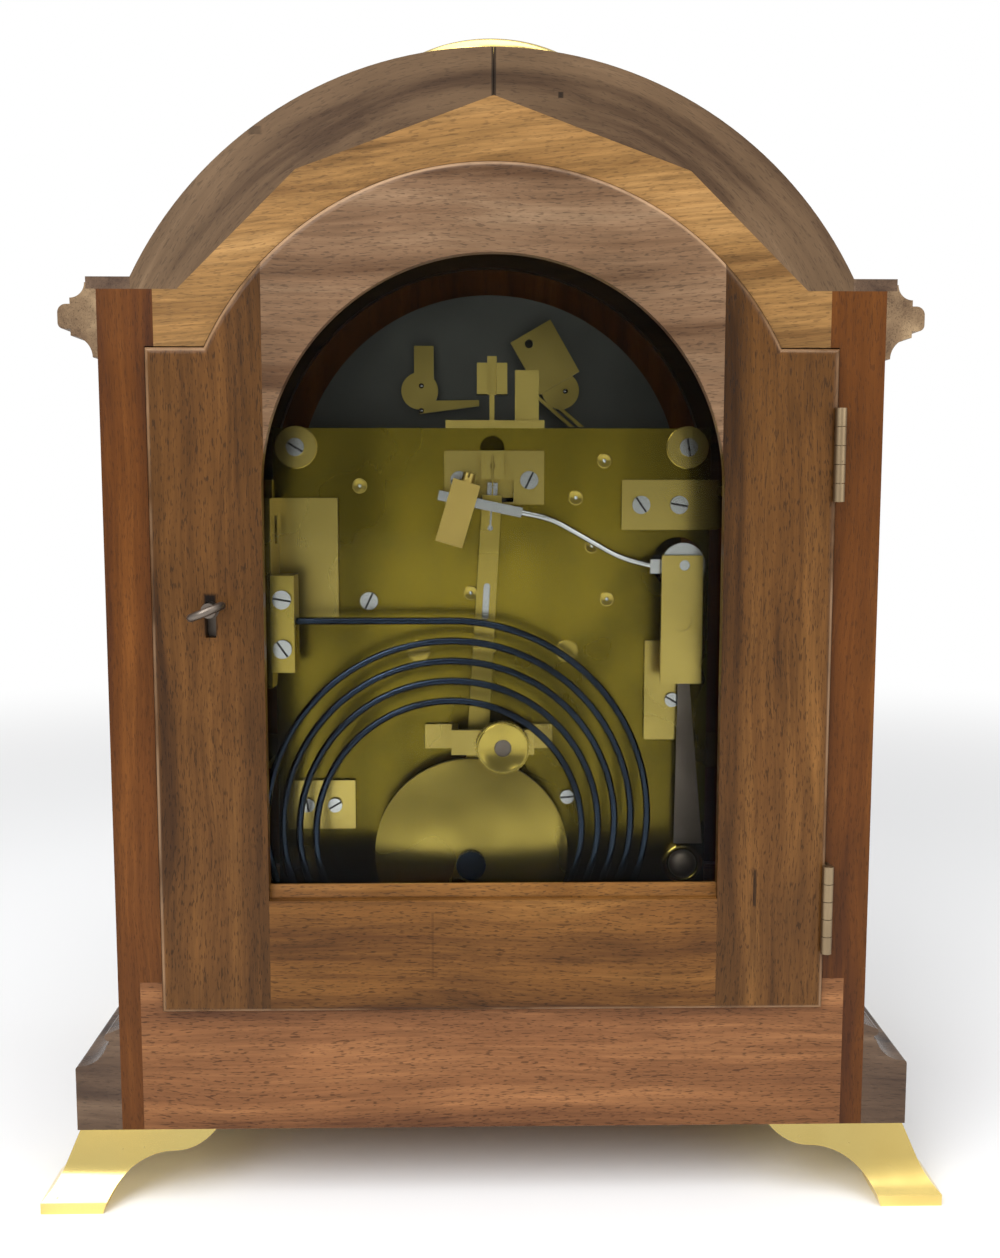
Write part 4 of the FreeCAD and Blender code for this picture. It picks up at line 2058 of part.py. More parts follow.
def hammer_spring():
    """The tapered blade spring beside the hammer's bridge, standing on its foot."""
    low = plate_rear + D.spring_blade_in
    high = low + D.spring_blade_thickness
    blade = prism("spring_blade", "XZ", [[
        (-D.spring_root_outer, D.spring_blade_bottom), (-D.spring_root_inner, D.spring_blade_bottom),
        (-D.spring_tip_inner, D.spring_blade_top), (-D.spring_tip_outer, D.spring_blade_top)]],
        low, high)
    foot = block("spring_foot", (-D.spring_root_outer + 1, plate_rear, D.spring_blade_bottom),
                 (-D.spring_root_inner - 1, high - D.spring_blade_thickness / 2,
                  D.spring_blade_bottom + D.spring_foot_height))
    keep("hammer_spring", fuse("hammer_spring", [blade, foot]))


def holdfast():
    """The knurled knob that clamps the pendulum for carrying, on its screw."""
    strap_rear = back_y - D.holdfast_strap_in + D.holdfast_strap
    x = -D.holdfast_x
    knob = knurled("holdfast_rim", D.holdfast_radius, D.holdfast_thickness, 40, 0.5)
    knob.Placement = FreeCAD.Placement(
        FreeCAD.Vector(real(x), real(strap_rear + D.door_seat_gap / 3), real(D.holdfast_height)),
        FreeCAD.Rotation())
    stem = rod("holdfast_stem", "Y", (x, strap_rear - D.holdfast_strap * 2, D.holdfast_height),
               D.holdfast_strap * 2 + 1, D.holdfast_stem)
    keep("holdfast_knob", fuse("holdfast_knob", [knob, stem]))


# ---------------------------------------------------------------- levers in the arch

def arch_levers():
    """The bar, post and cheeks over the plates, and the levers behind the dial's arch."""
    bar_top = D.plate_top + D.arch_bar_height
    bar = block("arch_bar", (-D.arch_bar_left, plate_rear - D.arch_bar_depth, D.plate_top),
                (D.arch_bar_right, plate_rear, bar_top))
    post = block("arch_post", (-D.arch_post_left, plate_rear - D.arch_post_thickness - 4.0, bar_top),
                 (-D.arch_post_right, plate_rear - 4.0, D.arch_post_top))
    cheek_y = plate_rear - D.arch_bar_depth + 1.0
    cheeks = [block("cheek_stem", (-1.0, cheek_y, bar_top), (1.0, cheek_y + 3.0, D.cheek_low + 2))]
    for low, high in ((-D.cheek_outer, -D.cheek_inner), (D.cheek_inner, D.cheek_outer)):
        cheeks.append(block("cheek", (low, cheek_y, D.cheek_low),
                            (high, cheek_y + D.cheek_thickness, D.cheek_high)))
    cheeks.append(block("cheek_strip", (-D.cheek_inner, cheek_y + 2.0, D.cheek_low),
                        (D.cheek_inner, cheek_y + 4.0, D.cheek_high + 3.0)))
    keep("arch_levers", group("arch_levers", [fuse("arch_bar_and_post",
                                                   [bar, post] + cheeks)]))


# ---------------------------------------------------------------- make everything

def build():
    """Make every piece in turn."""
    case_side_left = side_board("left")
    case_side_left.Label = "case_side_left_plain"
    keep("case_side_left", cut("case_side_left_recessed", case_side_left,
                               leaf_recesses(True) + leaf_recesses(False)))
    side_board("right")
    keep("case_rails", group("case_rails", [rail(True), rail(False)]))
    for rear in (True, False):
        arch_board(rear)
        glass(rear)
    floor_board()
    for side in ("left", "right"):
        roof_half(side)
    shoulder_caps()
    mouldings()
    feet()
    handle_posts()
    carrying_handle()
    rear_door()
    lock_and_key()
    front_door()
    hinges()
    dial()
    hands()
    plates()
    pillars()
    plate_screws()
    back_cock()
    plate_brackets()
    case_brackets()
    train()
    motion_work()
    pendulum()
    crutch()
    gong()
    gong_block()
    hammer()
    hammer_bridge()
    hammer_spring()
    holdfast()
    arch_levers()


def check_and_write():
    """Stop if any object failed, and write each piece to a file of its own."""
    document.recompute()
    for item in document.Objects:
        if "Invalid" in item.State or "Error" in item.State:
            raise RuntimeError(f"{item.Label} failed: {item.State}")
    os.makedirs("parts", exist_ok=True)
    for node, item in NODES.items():
        if item.Shape.isNull() or not item.Shape.isValid():
            raise RuntimeError(f"{node} has no valid shape")
        item.Shape.exportStep(f"parts/{node}.step")
    print(len(NODES), "pieces written")


build()
check_and_write()
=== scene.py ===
"""The dressed bracket clock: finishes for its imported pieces, small detail pieces and a stage."""

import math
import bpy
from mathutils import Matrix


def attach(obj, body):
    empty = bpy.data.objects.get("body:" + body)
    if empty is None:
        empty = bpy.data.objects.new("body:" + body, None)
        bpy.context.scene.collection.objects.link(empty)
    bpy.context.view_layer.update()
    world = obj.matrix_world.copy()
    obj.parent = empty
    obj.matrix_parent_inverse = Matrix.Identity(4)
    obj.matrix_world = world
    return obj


bl_info = {
    "name": "Bracket Clock",
    "version": (1, 0, 0),
    "blender": (4, 5, 0),
    "location": "View3D > Sidebar > Clock",
    "description": "Dresses the arched bracket clock and sets its stage",
    "category": "Object",
}

import bpy
import numpy as np
from bpy.props import FloatProperty, FloatVectorProperty, PointerProperty
from mathutils import Euler

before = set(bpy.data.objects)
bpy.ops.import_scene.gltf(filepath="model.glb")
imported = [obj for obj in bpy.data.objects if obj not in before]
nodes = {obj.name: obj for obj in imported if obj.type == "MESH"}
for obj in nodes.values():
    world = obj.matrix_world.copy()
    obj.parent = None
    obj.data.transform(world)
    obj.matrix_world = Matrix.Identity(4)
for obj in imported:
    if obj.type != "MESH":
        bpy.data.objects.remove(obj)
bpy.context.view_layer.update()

# ---------------------------------------------------------------- sizes and colours

# Lengths are in metres. A place is X and Z, and a face is the Y that it lies on.
PLATE_REAR = 0.0499
DIAL_BACK = -0.0485
RING_FRONT = -0.0517
CENTRE_HEIGHT = 0.212
CHAPTER_OUTER = 0.076
CHAPTER_INNER = 0.057
# The side, height, inner radius and outer radius of the two rings in the arch
ARCH_RING = (0.0325, 0.3215, 0.0135, 0.020)
# Pen widths and gaps of the marks on the dial
THIN_LINE = 0.0003
TICK = 0.0004
HOUR_TICK = 0.0011
QUARTER_TICK = 0.0009
HALF_HOUR_MARK = 0.0010
SERIF_REACH = 0.0015
SERIF_PEN = 0.0005
TRACK_INSET = 0.0034
TRACK_MARGIN = 0.0012
INNER_LINE_INSET = 0.0010
HALF_HOUR_SPAN = (0.0045, 0.0085)
NUMERAL_INSET = 0.0022
ARCH_LINE_INSET = 0.0008
ARCH_TICK_INSET = 0.0018
PAINT_THICKNESS = 0.00008
OIL_SINKS = ((0.0533, 0.2777), (-0.0451, 0.2878), (-0.0337, 0.2730), (-0.0403, 0.2536),
             (-0.0466, 0.2320), (0.0087, 0.2345))
WINDING_BUSHES = ((-0.0304, 0.2107), (0.0300, 0.2108))
CORNER_RINGS = ((-0.0786, 0.2931), (0.0786, 0.2931))
RIGHT_LEVER_REAR = -0.0341
RIGHT_LEVER_PINS = ((0.0317, 0.3238), (0.0318, 0.3125))
LEFT_LEVER_REAR = -0.0305
LEFT_LEVER_PINS = ((-0.0347, 0.3212),)
# Each screw's X, Z, rear face and radius, and its slot's turn from upright in degrees
SCREWS = np.array((
    (-0.0786, 0.1223, 0.0533, 0.0036, 80), (-0.0786, 0.2931, 0.0533, 0.0036, 10),
    (0.0786, 0.1223, 0.0533, 0.0036, 120), (0.0786, 0.2931, 0.0533, 0.0036, 60),
    (-0.0147, 0.2800, 0.0547, 0.0036, 155), (0.0132, 0.2800, 0.0547, 0.0036, 95),
    (-0.0597, 0.2702, 0.0542, 0.0036, 35), (-0.0750, 0.2702, 0.0542, 0.0036, 80),
    (0.0756, 0.1477, 0.0542, 0.0029, 10), (0.0644, 0.1477, 0.0542, 0.0029, 120),
    (-0.07315, 0.1910, 0.0542, 0.0029, 60), (0.0499, 0.2314, 0.0517, 0.0036, 155),
    (-0.0308, 0.1503, 0.0517, 0.0029, 95), (0.0810, 0.2152, 0.0797, 0.0036, 35),
    (0.0810, 0.2343, 0.0797, 0.0036, 80)))
CORNER_NUT = ((-0.0786, 0.1223),)
KNOB_FACE = ((-0.0039, 0.1746),)
KNOB_REAR = 0.0706
SLOT_WIDTH = 0.0008
SLOT_DEPTH = 0.0004
SLOT_REACH = 0.96
# The turned forms' profiles, as radius and height above the face
OIL_SINK = ((0.0031, 0.0), (0.0031, 0.00025), (0.0028, 0.00034), (0.0024, 0.00030),
            (0.0016, 0.00014), (0.0008, 0.00006))
PIVOT_END = ((0.00075, 0.0), (0.00075, 0.00045), (0.00055, 0.00062), (0.0002, 0.00068))
WINDING_BUSH = ((0.0046, 0.0), (0.0046, 0.0003), (0.0043, 0.00036), (0.0040, 0.00030),
                (0.0036, 0.00034), (0.0030, 0.00034))
CORNER_RING = ((0.0086, 0.0), (0.0086, 0.0003), (0.0083, 0.00045), (0.0080, 0.0003),
               (0.0079, 0.00012), (0.0046, 0.00012))
NUT_COLLAR = ((0.0084, 0.0), (0.0084, 0.0022), (0.0078, 0.0030), (0.0068, 0.0034),
              (0.0062, 0.0030), (0.0060, 0.0024))
NUT_DOME = ((0.0058, 0.0021), (0.0058, 0.0034), (0.0049, 0.0050), (0.0032, 0.0062),
            (0.0012, 0.0067))
LEVER_PIN = ((0.0012, 0.0), (0.0012, 0.0004), (0.0008, 0.0007), (0.0002, 0.0008))
KNOB_RING = ((0.0100, 0.0), (0.0100, 0.0002), (0.0094, 0.0004), (0.0090, 0.0001))
KNOB_CENTRE = ((0.0034, 0.0), (0.0034, 0.0002), (0.0028, 0.0003), (0.0010, 0.0003))
# The marks of wear on the rear of the case, and the painted shade in its keyhole and a small hole
ROOF_MITRE = 0.0011
ROOF_HOLE = (-0.0242, 0.4179)
ROOF_DENT = (0.0861, 0.4051)
KEYHOLE = (0.1053, 0.2300)
STILE_CRACK = (-0.1000, 0.1246)
SILL_SCRATCH = (0.0234, 0.1028)
# Where the painted shade inside the case ends, and where the dirt beside the door's opening ends
CASE_INSIDE_SHADE = (0.0780, 0.0800)
OPENING_GRIME = (0.0895, 0.099)
# Heights between which the painted shade on the plates fades, so that they grow brighter upwards
PLATE_SHADE_FALL = (0.10, 0.27)
# Repeats per metre of the patterns in wood, along the grain and across it
WANDER_SCALE = (5.0, 16.0, 16.0)
WANDER_REACH = (0.0, 0.02, 0.02)
BAND_SCALE = (4.0, 70.0, 70.0)
STREAK_SCALE = (22.0, 760.0, 760.0)
PORE_SCALE = (330.0, 2300.0, 2300.0)
FIGURE_SCALE = (26.0, 34.0, 34.0)
# Repeats per metre of the patterns in metal
BRUSH_SCALE = (2600.0, 2600.0, 40.0)
PATCH_SCALE = 26.0
SPECK_SCALE = 620.0
WOOD_RELIEF = 0.00025
METAL_RELIEF = 0.00004
ARCH_CENTRE_HEIGHT = 0.2856
ARCH_RADIUS = 0.14
# Fixed colours and the glass
# Paler tone on rounded wood edges: wear, and a painted highlight along the rounding
WORN_EDGE_AND_HIGHLIGHT = (0.520, 0.330, 0.190)
DIAL_PAINT = (0.012, 0.011, 0.010)
# Painted shade at the bottom of the screw slots
SLOT_SHADE = (0.010, 0.009, 0.008)
GLASS_TINT = (0.96, 0.985, 0.97, 1.0)
GLASS_IOR = 1.1
WHITE = (1.0, 1.0, 1.0, 1.0)
# The stage: each lamp's power setting, size, place and the point that it looks at
FLOOR_SIZE = 16.0
FLOOR_FADE = (0.5, 1.4)
LAMPS = (("key", 0.9, (0.75, 1.25, 1.15), (0.0, 0.0, 0.22)),
         ("fill", 1.2, (-1.1, 0.9, 0.7), (0.0, 0.0, 0.22)),
         ("top", 1.6, (0.1, 0.35, 1.7), (0.0, 0.1, 0.0)))
SENSOR_HEIGHT = 36.0
CAMERA_TURN = (math.pi / 2 - 0.1084, -0.0006, math.pi - 0.0188)


def colour(name, description, value):
    """A colour that a user may change, in linear light."""
    return FloatVectorProperty(name=name, description=description, default=value,
                               size=3, min=0.0, max=1.0, subtype="COLOR")


def length(name, description, value):
    """A length in metres that a user may change."""
    return FloatProperty(name=name, description=description, default=value,
                         subtype="DISTANCE", unit="LENGTH", precision=5)


class ClockWoodColours(bpy.types.PropertyGroup):
    """The colours of the woods."""
    side_light: colour("Side light", "Light streaks of the side boards", (0.172, 0.058, 0.010))
    side_middle: colour("Side middle", "Middle tone of the side boards", (0.106, 0.033, 0.005))
    side_dark: colour("Side dark", "Dark streaks of the side boards", (0.052, 0.015, 0.004))
    rail_light: colour("Rail light", "Light streaks of the rails", (0.340, 0.150, 0.058))
    rail_middle: colour("Rail middle", "Middle tone of the rails", (0.205, 0.085, 0.032))
    rail_dark: colour("Rail dark", "Dark streaks of the rails", (0.095, 0.036, 0.015))
    stile_light: colour("Stile light", "Light streaks of the door's stiles", (0.200, 0.088, 0.022))
    stile_middle: colour("Stile middle", "Middle tone of the stiles", (0.112, 0.046, 0.011))
    stile_dark: colour("Stile dark", "Dark streaks of the stiles", (0.045, 0.018, 0.005))
    sill_light: colour("Sill light", "Light streaks of the bottom rail", (0.270, 0.122, 0.030))
    sill_middle: colour("Sill middle", "Middle tone of the bottom rail", (0.160, 0.066, 0.015))
    sill_dark: colour("Sill dark", "Dark streaks of the bottom rail", (0.065, 0.024, 0.006))
    crown_light: colour("Door arch light", "Light streaks of the door's arch",
                        (0.270, 0.170, 0.098))
    crown_middle: colour("Door arch middle", "Middle tone of the door's arch",
                         (0.175, 0.100, 0.054))
    crown_dark: colour("Door arch dark", "Dark streaks of the door's arch", (0.085, 0.042, 0.020))
    roof_light: colour("Roof light", "Light streaks of the roof", (0.240, 0.155, 0.088))
    roof_middle: colour("Roof middle", "Middle tone of the roof", (0.135, 0.082, 0.044))
    roof_dark: colour("Roof dark", "Dark streaks of the roof", (0.055, 0.030, 0.016))
    arch_light: colour("Arch light", "Light streaks of the arch boards", (0.400, 0.225, 0.082))
    arch_middle: colour("Arch middle", "Middle tone of the arch boards", (0.275, 0.145, 0.048))
    arch_dark: colour("Arch dark", "Dark streaks of the arch boards", (0.115, 0.054, 0.017))
    end_light: colour("Cornice light", "Light specks of the cornices", (0.330, 0.225, 0.125))
    end_middle: colour("Cornice middle", "Middle tone of the cornices", (0.200, 0.128, 0.070))
    end_dark: colour("Cornice dark", "Dark specks of the cornices", (0.080, 0.045, 0.026))
    base_light: colour("Base light", "Light streaks of the base moulding", (0.200, 0.130, 0.082))
    base_middle: colour("Base middle", "Middle tone of the base moulding", (0.105, 0.064, 0.040))
    base_dark: colour("Base dark", "Dark streaks of the base moulding", (0.045, 0.026, 0.018))


class ClockMetalColours(bpy.types.PropertyGroup):
    """The colours of the metals."""
    cast_bright: colour("Cast brass", "Clean brass of feet and handle", (0.92, 0.71, 0.25))
    cast_dull: colour("Cast brass, dull", "Dull patches of feet and handle", (0.62, 0.45, 0.135))
    plate_bright: colour("Plate brass", "Clean brass of the plates", (0.230, 0.168, 0.018))
    plate_dull: colour("Plate brass, dull", "Dull patches of the plates", (0.075, 0.056, 0.007))
    turned_bright: colour("Turned brass", "Clean brass of the turned pieces", (0.400, 0.300, 0.065))
    turned_dull: colour("Turned brass, dull", "Dull patches of the turned pieces",
                        (0.170, 0.128, 0.026))
    cock_bright: colour("Cock brass", "Clean brass of the cocks and pillars", (0.440, 0.335, 0.090))
    cock_dull: colour("Cock brass, dull", "Dull patches of the cocks", (0.240, 0.178, 0.045))
    hinge_bright: colour("Hinge brass", "Clean brass of the hinges", (0.30, 0.22, 0.13))
    hinge_dull: colour("Hinge brass, dull", "Dull patches of the hinges", (0.13, 0.09, 0.055))
    steel_bright: colour("Steel", "Clean polished steel", (0.46, 0.46, 0.45))
    steel_dull: colour("Steel, dull", "Grey patches of polished steel", (0.22, 0.22, 0.215))
    lock_bright: colour("Lock steel", "Worn steel of the lock and key", (0.230, 0.195, 0.165))
    lock_dull: colour("Lock steel, dull", "Brown stain of the lock and key", (0.085, 0.065, 0.050))
    blued_bright: colour("Blued steel", "Blue of the gong", (0.018, 0.026, 0.040))
    blued_dull: colour("Blued steel, dark", "Dark of the gong", (0.008, 0.010, 0.014))
    hammer_bright: colour("Hammer brass", "Golden brass of the hammer head", (0.42, 0.30, 0.085))
    hammer_dull: colour("Hammer brass, dull", "Scratches of the hammer head", (0.22, 0.15, 0.04))
    black_bright: colour("Black finish", "Blackened back of the dial", (0.130, 0.130, 0.115))
    black_dull: colour("Black finish, dull", "Dust on the dial's back", (0.190, 0.190, 0.170))
    silver_bright: colour("Silvering", "Silvered rings", (0.80, 0.79, 0.74))
    silver_dull: colour("Silvering, dull", "Yellowed silvering", (0.62, 0.58, 0.48))


class ClockStageSettings(bpy.types.PropertyGroup):
    """The lights, floor and camera."""
    world_level: FloatProperty(name="Room light", description="Strength of the even light",
                               default=0.20, min=0.0)
    mirror_level: FloatProperty(name="Mirrored room", description="Strength of the room in metals",
                                default=0.60, min=0.0)
    glass_level: FloatProperty(name="Room through glass", description="Strength of the room "
                               "that reaches the movement", default=0.26, min=0.0)
    key_power: FloatProperty(name="Key lamp", description="Power of the main soft lamp",
                             default=16.0, min=0.0, subtype="POWER", unit="POWER")
    fill_power: FloatProperty(name="Fill lamp", description="Power of the second soft lamp",
                              default=8.0, min=0.0, subtype="POWER", unit="POWER")
    top_power: FloatProperty(name="Top lamp", description="Power of the lamp overhead",
                             default=26.0, min=0.0, subtype="POWER", unit="POWER")
    floor_colour: colour("Floor", "The pale floor", (0.965, 0.97, 0.98))
    focal_length: FloatProperty(name="Focal length", description="Camera lens in millimetres",
                                default=37.2, min=1.0)
    camera_side: length("Camera side", "Camera distance along X", 0.0068)
    camera_away: length("Camera away", "Camera distance along Y", 0.5765)
    camera_up: length("Camera up", "Camera height", 0.2771)


def settings(name):
    """One of the scene's groups of settings."""
    return getattr(bpy.context.scene, name)


# ---------------------------------------------------------------- shader nodes

def add(tree, kind, inputs=None, **options):
    """Adds a node. An input is a value or the socket that feeds it."""
    node = tree.nodes.new(kind)
    for key, value in options.items():
        setattr(node, key, value)
    for key, value in (inputs or {}).items():
        if isinstance(value, bpy.types.NodeSocket):
            tree.links.new(value, node.inputs[key])
        else:
            node.inputs[key].default_value = value
    return node


def out(node, name=0):
    """An output socket of a node."""
    return node.outputs[name]


def maths(tree, operation, *values):
    """One step of arithmetic on numbers or sockets."""
    return out(add(tree, "ShaderNodeMath", dict(enumerate(values)), operation=operation))


def vector_maths(tree, operation, *values):
    """One step of arithmetic on vectors."""
    return out(add(tree, "ShaderNodeVectorMath", dict(enumerate(values)), operation=operation))


def noise(tree, vector, scale, detail=2.0, roughness=0.5):
    """Even noise between 0 and 1."""
    return out(add(tree, "ShaderNodeTexNoise", {
        "Vector": vector, "Scale": scale, "Detail": detail, "Roughness": roughness}), "Fac")


def stretch(tree, vector, scale, turn=(0.0, 0.0, 0.0), shift=(0.0, 0.0, 0.0)):
    """A vector turned, moved and scaled along each axis."""
    return out(add(tree, "ShaderNodeMapping", {
        "Vector": vector, "Scale": scale, "Rotation": turn, "Location": shift}))


def step_between(tree, value, low, high):
    """0 below low, 1 above high, and smooth between them."""
    return out(add(tree, "ShaderNodeMapRange", {
        "Value": value, "From Min": low, "From Max": high}, interpolation_type="SMOOTHSTEP"))


def blend_colours(tree, factor, first, second, mode="MIX"):
    """Two colours mixed by a factor."""
    node = add(tree, "ShaderNodeMix", data_type="RGBA", blend_type=mode)
    for index, value in ((0, factor), (6, first), (7, second)):
        if isinstance(value, bpy.types.NodeSocket):
            tree.links.new(value, node.inputs[index])
        elif index == 0:
            node.inputs[index].default_value = value
        else:
            node.inputs[index].default_value = (*value[:3], 1.0)
    return node.outputs[2]


def new_group(name, inputs, outputs):
    """An empty node group with named sockets."""
    group = bpy.data.node_groups.new(name, "ShaderNodeTree")
    kinds = {"value": "NodeSocketFloat", "colour": "NodeSocketColor", "vector": "NodeSocketVector"}
    for title, kind, default in inputs:
        socket = group.interface.new_socket(title, in_out="INPUT", socket_type=kinds[kind])
        if default is not None:
            socket.default_value = default
    for title, kind in outputs:
        group.interface.new_socket(title, in_out="OUTPUT", socket_type=kinds[kind])
    return group, group.nodes.new("NodeGroupInput"), group.nodes.new("NodeGroupOutput")


def place_group(tree, group, inputs):
    """A node group placed in a material."""
    node = tree.nodes.new("ShaderNodeGroup")
    node.node_tree = group
    for key, value in inputs.items():
        if isinstance(value, bpy.types.NodeSocket):
            tree.links.new(value, node.inputs[key])
        elif isinstance(value, (tuple, list)) or hasattr(value, "r"):
            node.inputs[key].default_value = (*tuple(value)[:3], 1.0)
        else:
            node.inputs[key].default_value = value
    return node


def wood_group():
    """Grain along X: broad bands, fine streaks and short dark pores, with their relief."""
    group, given, made = new_group("wood_grain", [
        ("Coordinates", "vector", None), ("Light", "colour", None), ("Middle", "colour", None),
        ("Dark", "colour", None), ("Streaks", "value", 0.5), ("Pores", "value", 0.5),
        ("Figure", "value", 0.4), ("Roughness", "value", 0.35), ("Shade", "value", 1.0),
        ("Wear", "value", 0.0)],
        [("Color", "colour"), ("Roughness", "value"), ("Normal", "vector")])
    place = out(given, "Coordinates")
    wander = out(add(group, "ShaderNodeTexNoise", {
        "Vector": stretch(group, place, WANDER_SCALE), "Scale": 1.0, "Detail": 2.0}), "Color")
    wander = vector_maths(group, "SUBTRACT", wander, (0.5, 0.5, 0.5))
    wander = vector_maths(group, "MULTIPLY", wander, WANDER_REACH)
    place = vector_maths(group, "ADD", place, wander)
    bands = noise(group, stretch(group, place, BAND_SCALE), 1.0, 5.0, 0.6)
    streaks = noise(group, stretch(group, place, STREAK_SCALE), 1.0, 5.0, 0.65)
    pores = noise(group, stretch(group, place, PORE_SCALE), 1.0, 1.0, 0.4)
    figure = noise(group, stretch(group, place, FIGURE_SCALE), 1.0, 3.0, 0.55)
    pores = step_between(group, pores, 0.57, 0.68)
    tone = blend_colours(group, step_between(group, bands, 0.30, 0.52), out(given, "Dark"),
                         out(given, "Middle"))
    tone = blend_colours(group, step_between(group, bands, 0.50, 0.74), tone, out(given, "Light"))
    swing = maths(group, "MULTIPLY", maths(group, "SUBTRACT", streaks, 0.5), out(given, "Streaks"))
    mottle = maths(group, "MULTIPLY", maths(group, "SUBTRACT", figure, 0.5), out(given, "Figure"))
    level = maths(group, "ADD", maths(group, "ADD", swing, mottle), 1.0)
    cover = maths(group, "MULTIPLY", pores, out(given, "Pores"))
    level = maths(group, "MULTIPLY", level, maths(group, "SUBTRACT", 1.0, cover))
    # Shade multiplies in real marks and painted shade: inside the case, in the keyhole and in a
    # small hole
    level = maths(group, "MULTIPLY", level, out(given, "Shade"))
    grey = out(add(group, "ShaderNodeCombineColor", {"Red": level, "Green": level, "Blue": level}))
    tone = blend_colours(group, 1.0, tone, grey, "MULTIPLY")
    # Rounded edges turn paler: wear, and a painted highlight along the rounding
    worn = maths(group, "MULTIPLY", out(given, "Wear"), step_between(group, figure, 0.30, 0.62))
    tone = blend_colours(group, worn, tone, WORN_EDGE_AND_HIGHLIGHT)
    rough = maths(group, "ADD", out(given, "Roughness"),
                  maths(group, "MULTIPLY", maths(group, "SUBTRACT", figure, 0.5), 0.25))
    rough = maths(group, "ADD", rough, maths(group, "MULTIPLY", cover, 0.3))
    relief = maths(group, "SUBTRACT", maths(group, "MULTIPLY", streaks, 0.35), cover)
    bump = out(add(group, "ShaderNodeBump", {"Height": relief, "Strength": 0.35,
                                             "Distance": WOOD_RELIEF}))
    group.links.new(tone, made.inputs["Color"])
    group.links.new(rough, made.inputs["Roughness"])
    group.links.new(bump, made.inputs["Normal"])
    return group


def metal_group():
    """Fine brushing along Z, dull patches and small dark specks, with their relief."""
    group, given, made = new_group("worn_metal", [
        ("Coordinates", "vector", None), ("Bright", "colour", None), ("Dull", "colour", None),
        ("Tarnish", "value", 0.5), ("Brushing", "value", 0.5), ("Specks", "value", 0.5),
        ("Roughness", "value", 0.3), ("Shade", "value", 1.0)],
        [("Color", "colour"), ("Roughness", "value"), ("Normal", "vector")])
    place = out(given, "Coordinates")
    lines = noise(group, stretch(group, place, BRUSH_SCALE), 1.0, 3.0, 0.7)
    patches = noise(group, place, PATCH_SCALE, 2.0, 0.5)
    specks = step_between(group, noise(group, place, SPECK_SCALE, 2.0, 0.5), 0.70, 0.78)
    dull = maths(group, "MULTIPLY", step_between(group, patches, 0.38, 0.72), out(given, "Tarnish"))
    tone = blend_colours(group, dull, out(given, "Bright"), out(given, "Dull"))
    dark = maths(group, "MULTIPLY", specks, out(given, "Specks"))
    level = maths(group, "SUBTRACT", 1.0, maths(group, "MULTIPLY", dark, 0.6))
    brush = maths(group, "MULTIPLY", maths(group, "SUBTRACT", lines, 0.5), out(given, "Brushing"))
    level = maths(group, "ADD", level, maths(group, "MULTIPLY", brush, 0.25))
    # Shade darkens the tone; on the plates it carries painted shade and painted reflections
    level = maths(group, "MULTIPLY", level, out(given, "Shade"))
    grey = out(add(group, "ShaderNodeCombineColor", {"Red": level, "Green": level, "Blue": level}))
    tone = blend_colours(group, 1.0, tone, grey, "MULTIPLY")
    rough = maths(group, "ADD", out(given, "Roughness"), maths(group, "MULTIPLY", dull, 0.14))
    rough = maths(group, "ADD", rough, maths(group, "MULTIPLY", brush, 0.12))
    rough = maths(group, "ADD", rough, maths(group, "MULTIPLY", dark, 0.25))
    relief = maths(group, "SUBTRACT", brush, dark)
    bump = out(add(group, "ShaderNodeBump", {"Height": relief, "Strength": 0.2,
                                             "Distance": METAL_RELIEF}))
    group.links.new(tone, made.inputs["Color"])
    group.links.new(rough, made.inputs["Roughness"])
    group.links.new(bump, made.inputs["Normal"])
    return group


def arch_group():
    """Coordinates that run along an arch: X along it, Z out from its centre."""
    group, given, made = new_group("arch_coordinates", [
        ("Coordinates", "vector", None), ("Centre height", "value", ARCH_CENTRE_HEIGHT),
        ("Radius", "value", ARCH_RADIUS)], [("Coordinates", "vector")])
    parts = add(group, "ShaderNodeSeparateXYZ", {0: out(given, "Coordinates")})
    rise = maths(group, "SUBTRACT", out(parts, "Z"), out(given, "Centre height"))
    turn = maths(group, "ARCTAN2", out(parts, "X"), rise)
    square = maths(group, "ADD", maths(group, "MULTIPLY", out(parts, "X"), out(parts, "X")),
                   maths(group, "MULTIPLY", rise, rise))
    joined = out(add(group, "ShaderNodeCombineXYZ", {
        "X": maths(group, "MULTIPLY", turn, out(given, "Radius")), "Y": out(parts, "Y"),
        "Z": maths(group, "SQRT", square)}))
    group.links.new(joined, made.inputs["Coordinates"])
    return group


def group_named(name, maker):
    """A node group, built the first time that it is asked for."""
    return bpy.data.node_groups.get(name) or maker()


def blank_material(name):
    """A material with one Principled shader, its node tree and Object coordinates."""
    material = bpy.data.materials.new(name)
    material.use_nodes = True
    tree = material.node_tree
    shader = tree.nodes["Principled BSDF"]
    place = out(add(tree, "ShaderNodeTexCoord"), "Object")
    return material, tree, shader, place


def rounded_edges(tree):
    """1 where a surface turns from a front or rear face into a side, else 0."""
    facing = out(add(tree, "ShaderNodeTexCoord"), "Normal")
    depth = out(add(tree, "ShaderNodeSeparateXYZ", {0: facing}), "Y")
    depth = maths(tree, "ABSOLUTE", depth)
    turned = step_between(tree, depth, 0.10, 0.40)
    flat = step_between(tree, depth, 0.80, 0.97)
    return maths(tree, "MULTIPLY", turned, maths(tree, "SUBTRACT", 1.0, flat))


def axis_distance(tree, place, axis, centre):
    """How far a point lies from a plane across one axis."""
    value = out(add(tree, "ShaderNodeSeparateXYZ", {0: place}), axis)
    return maths(tree, "ABSOLUTE", maths(tree, "SUBTRACT", value, centre))


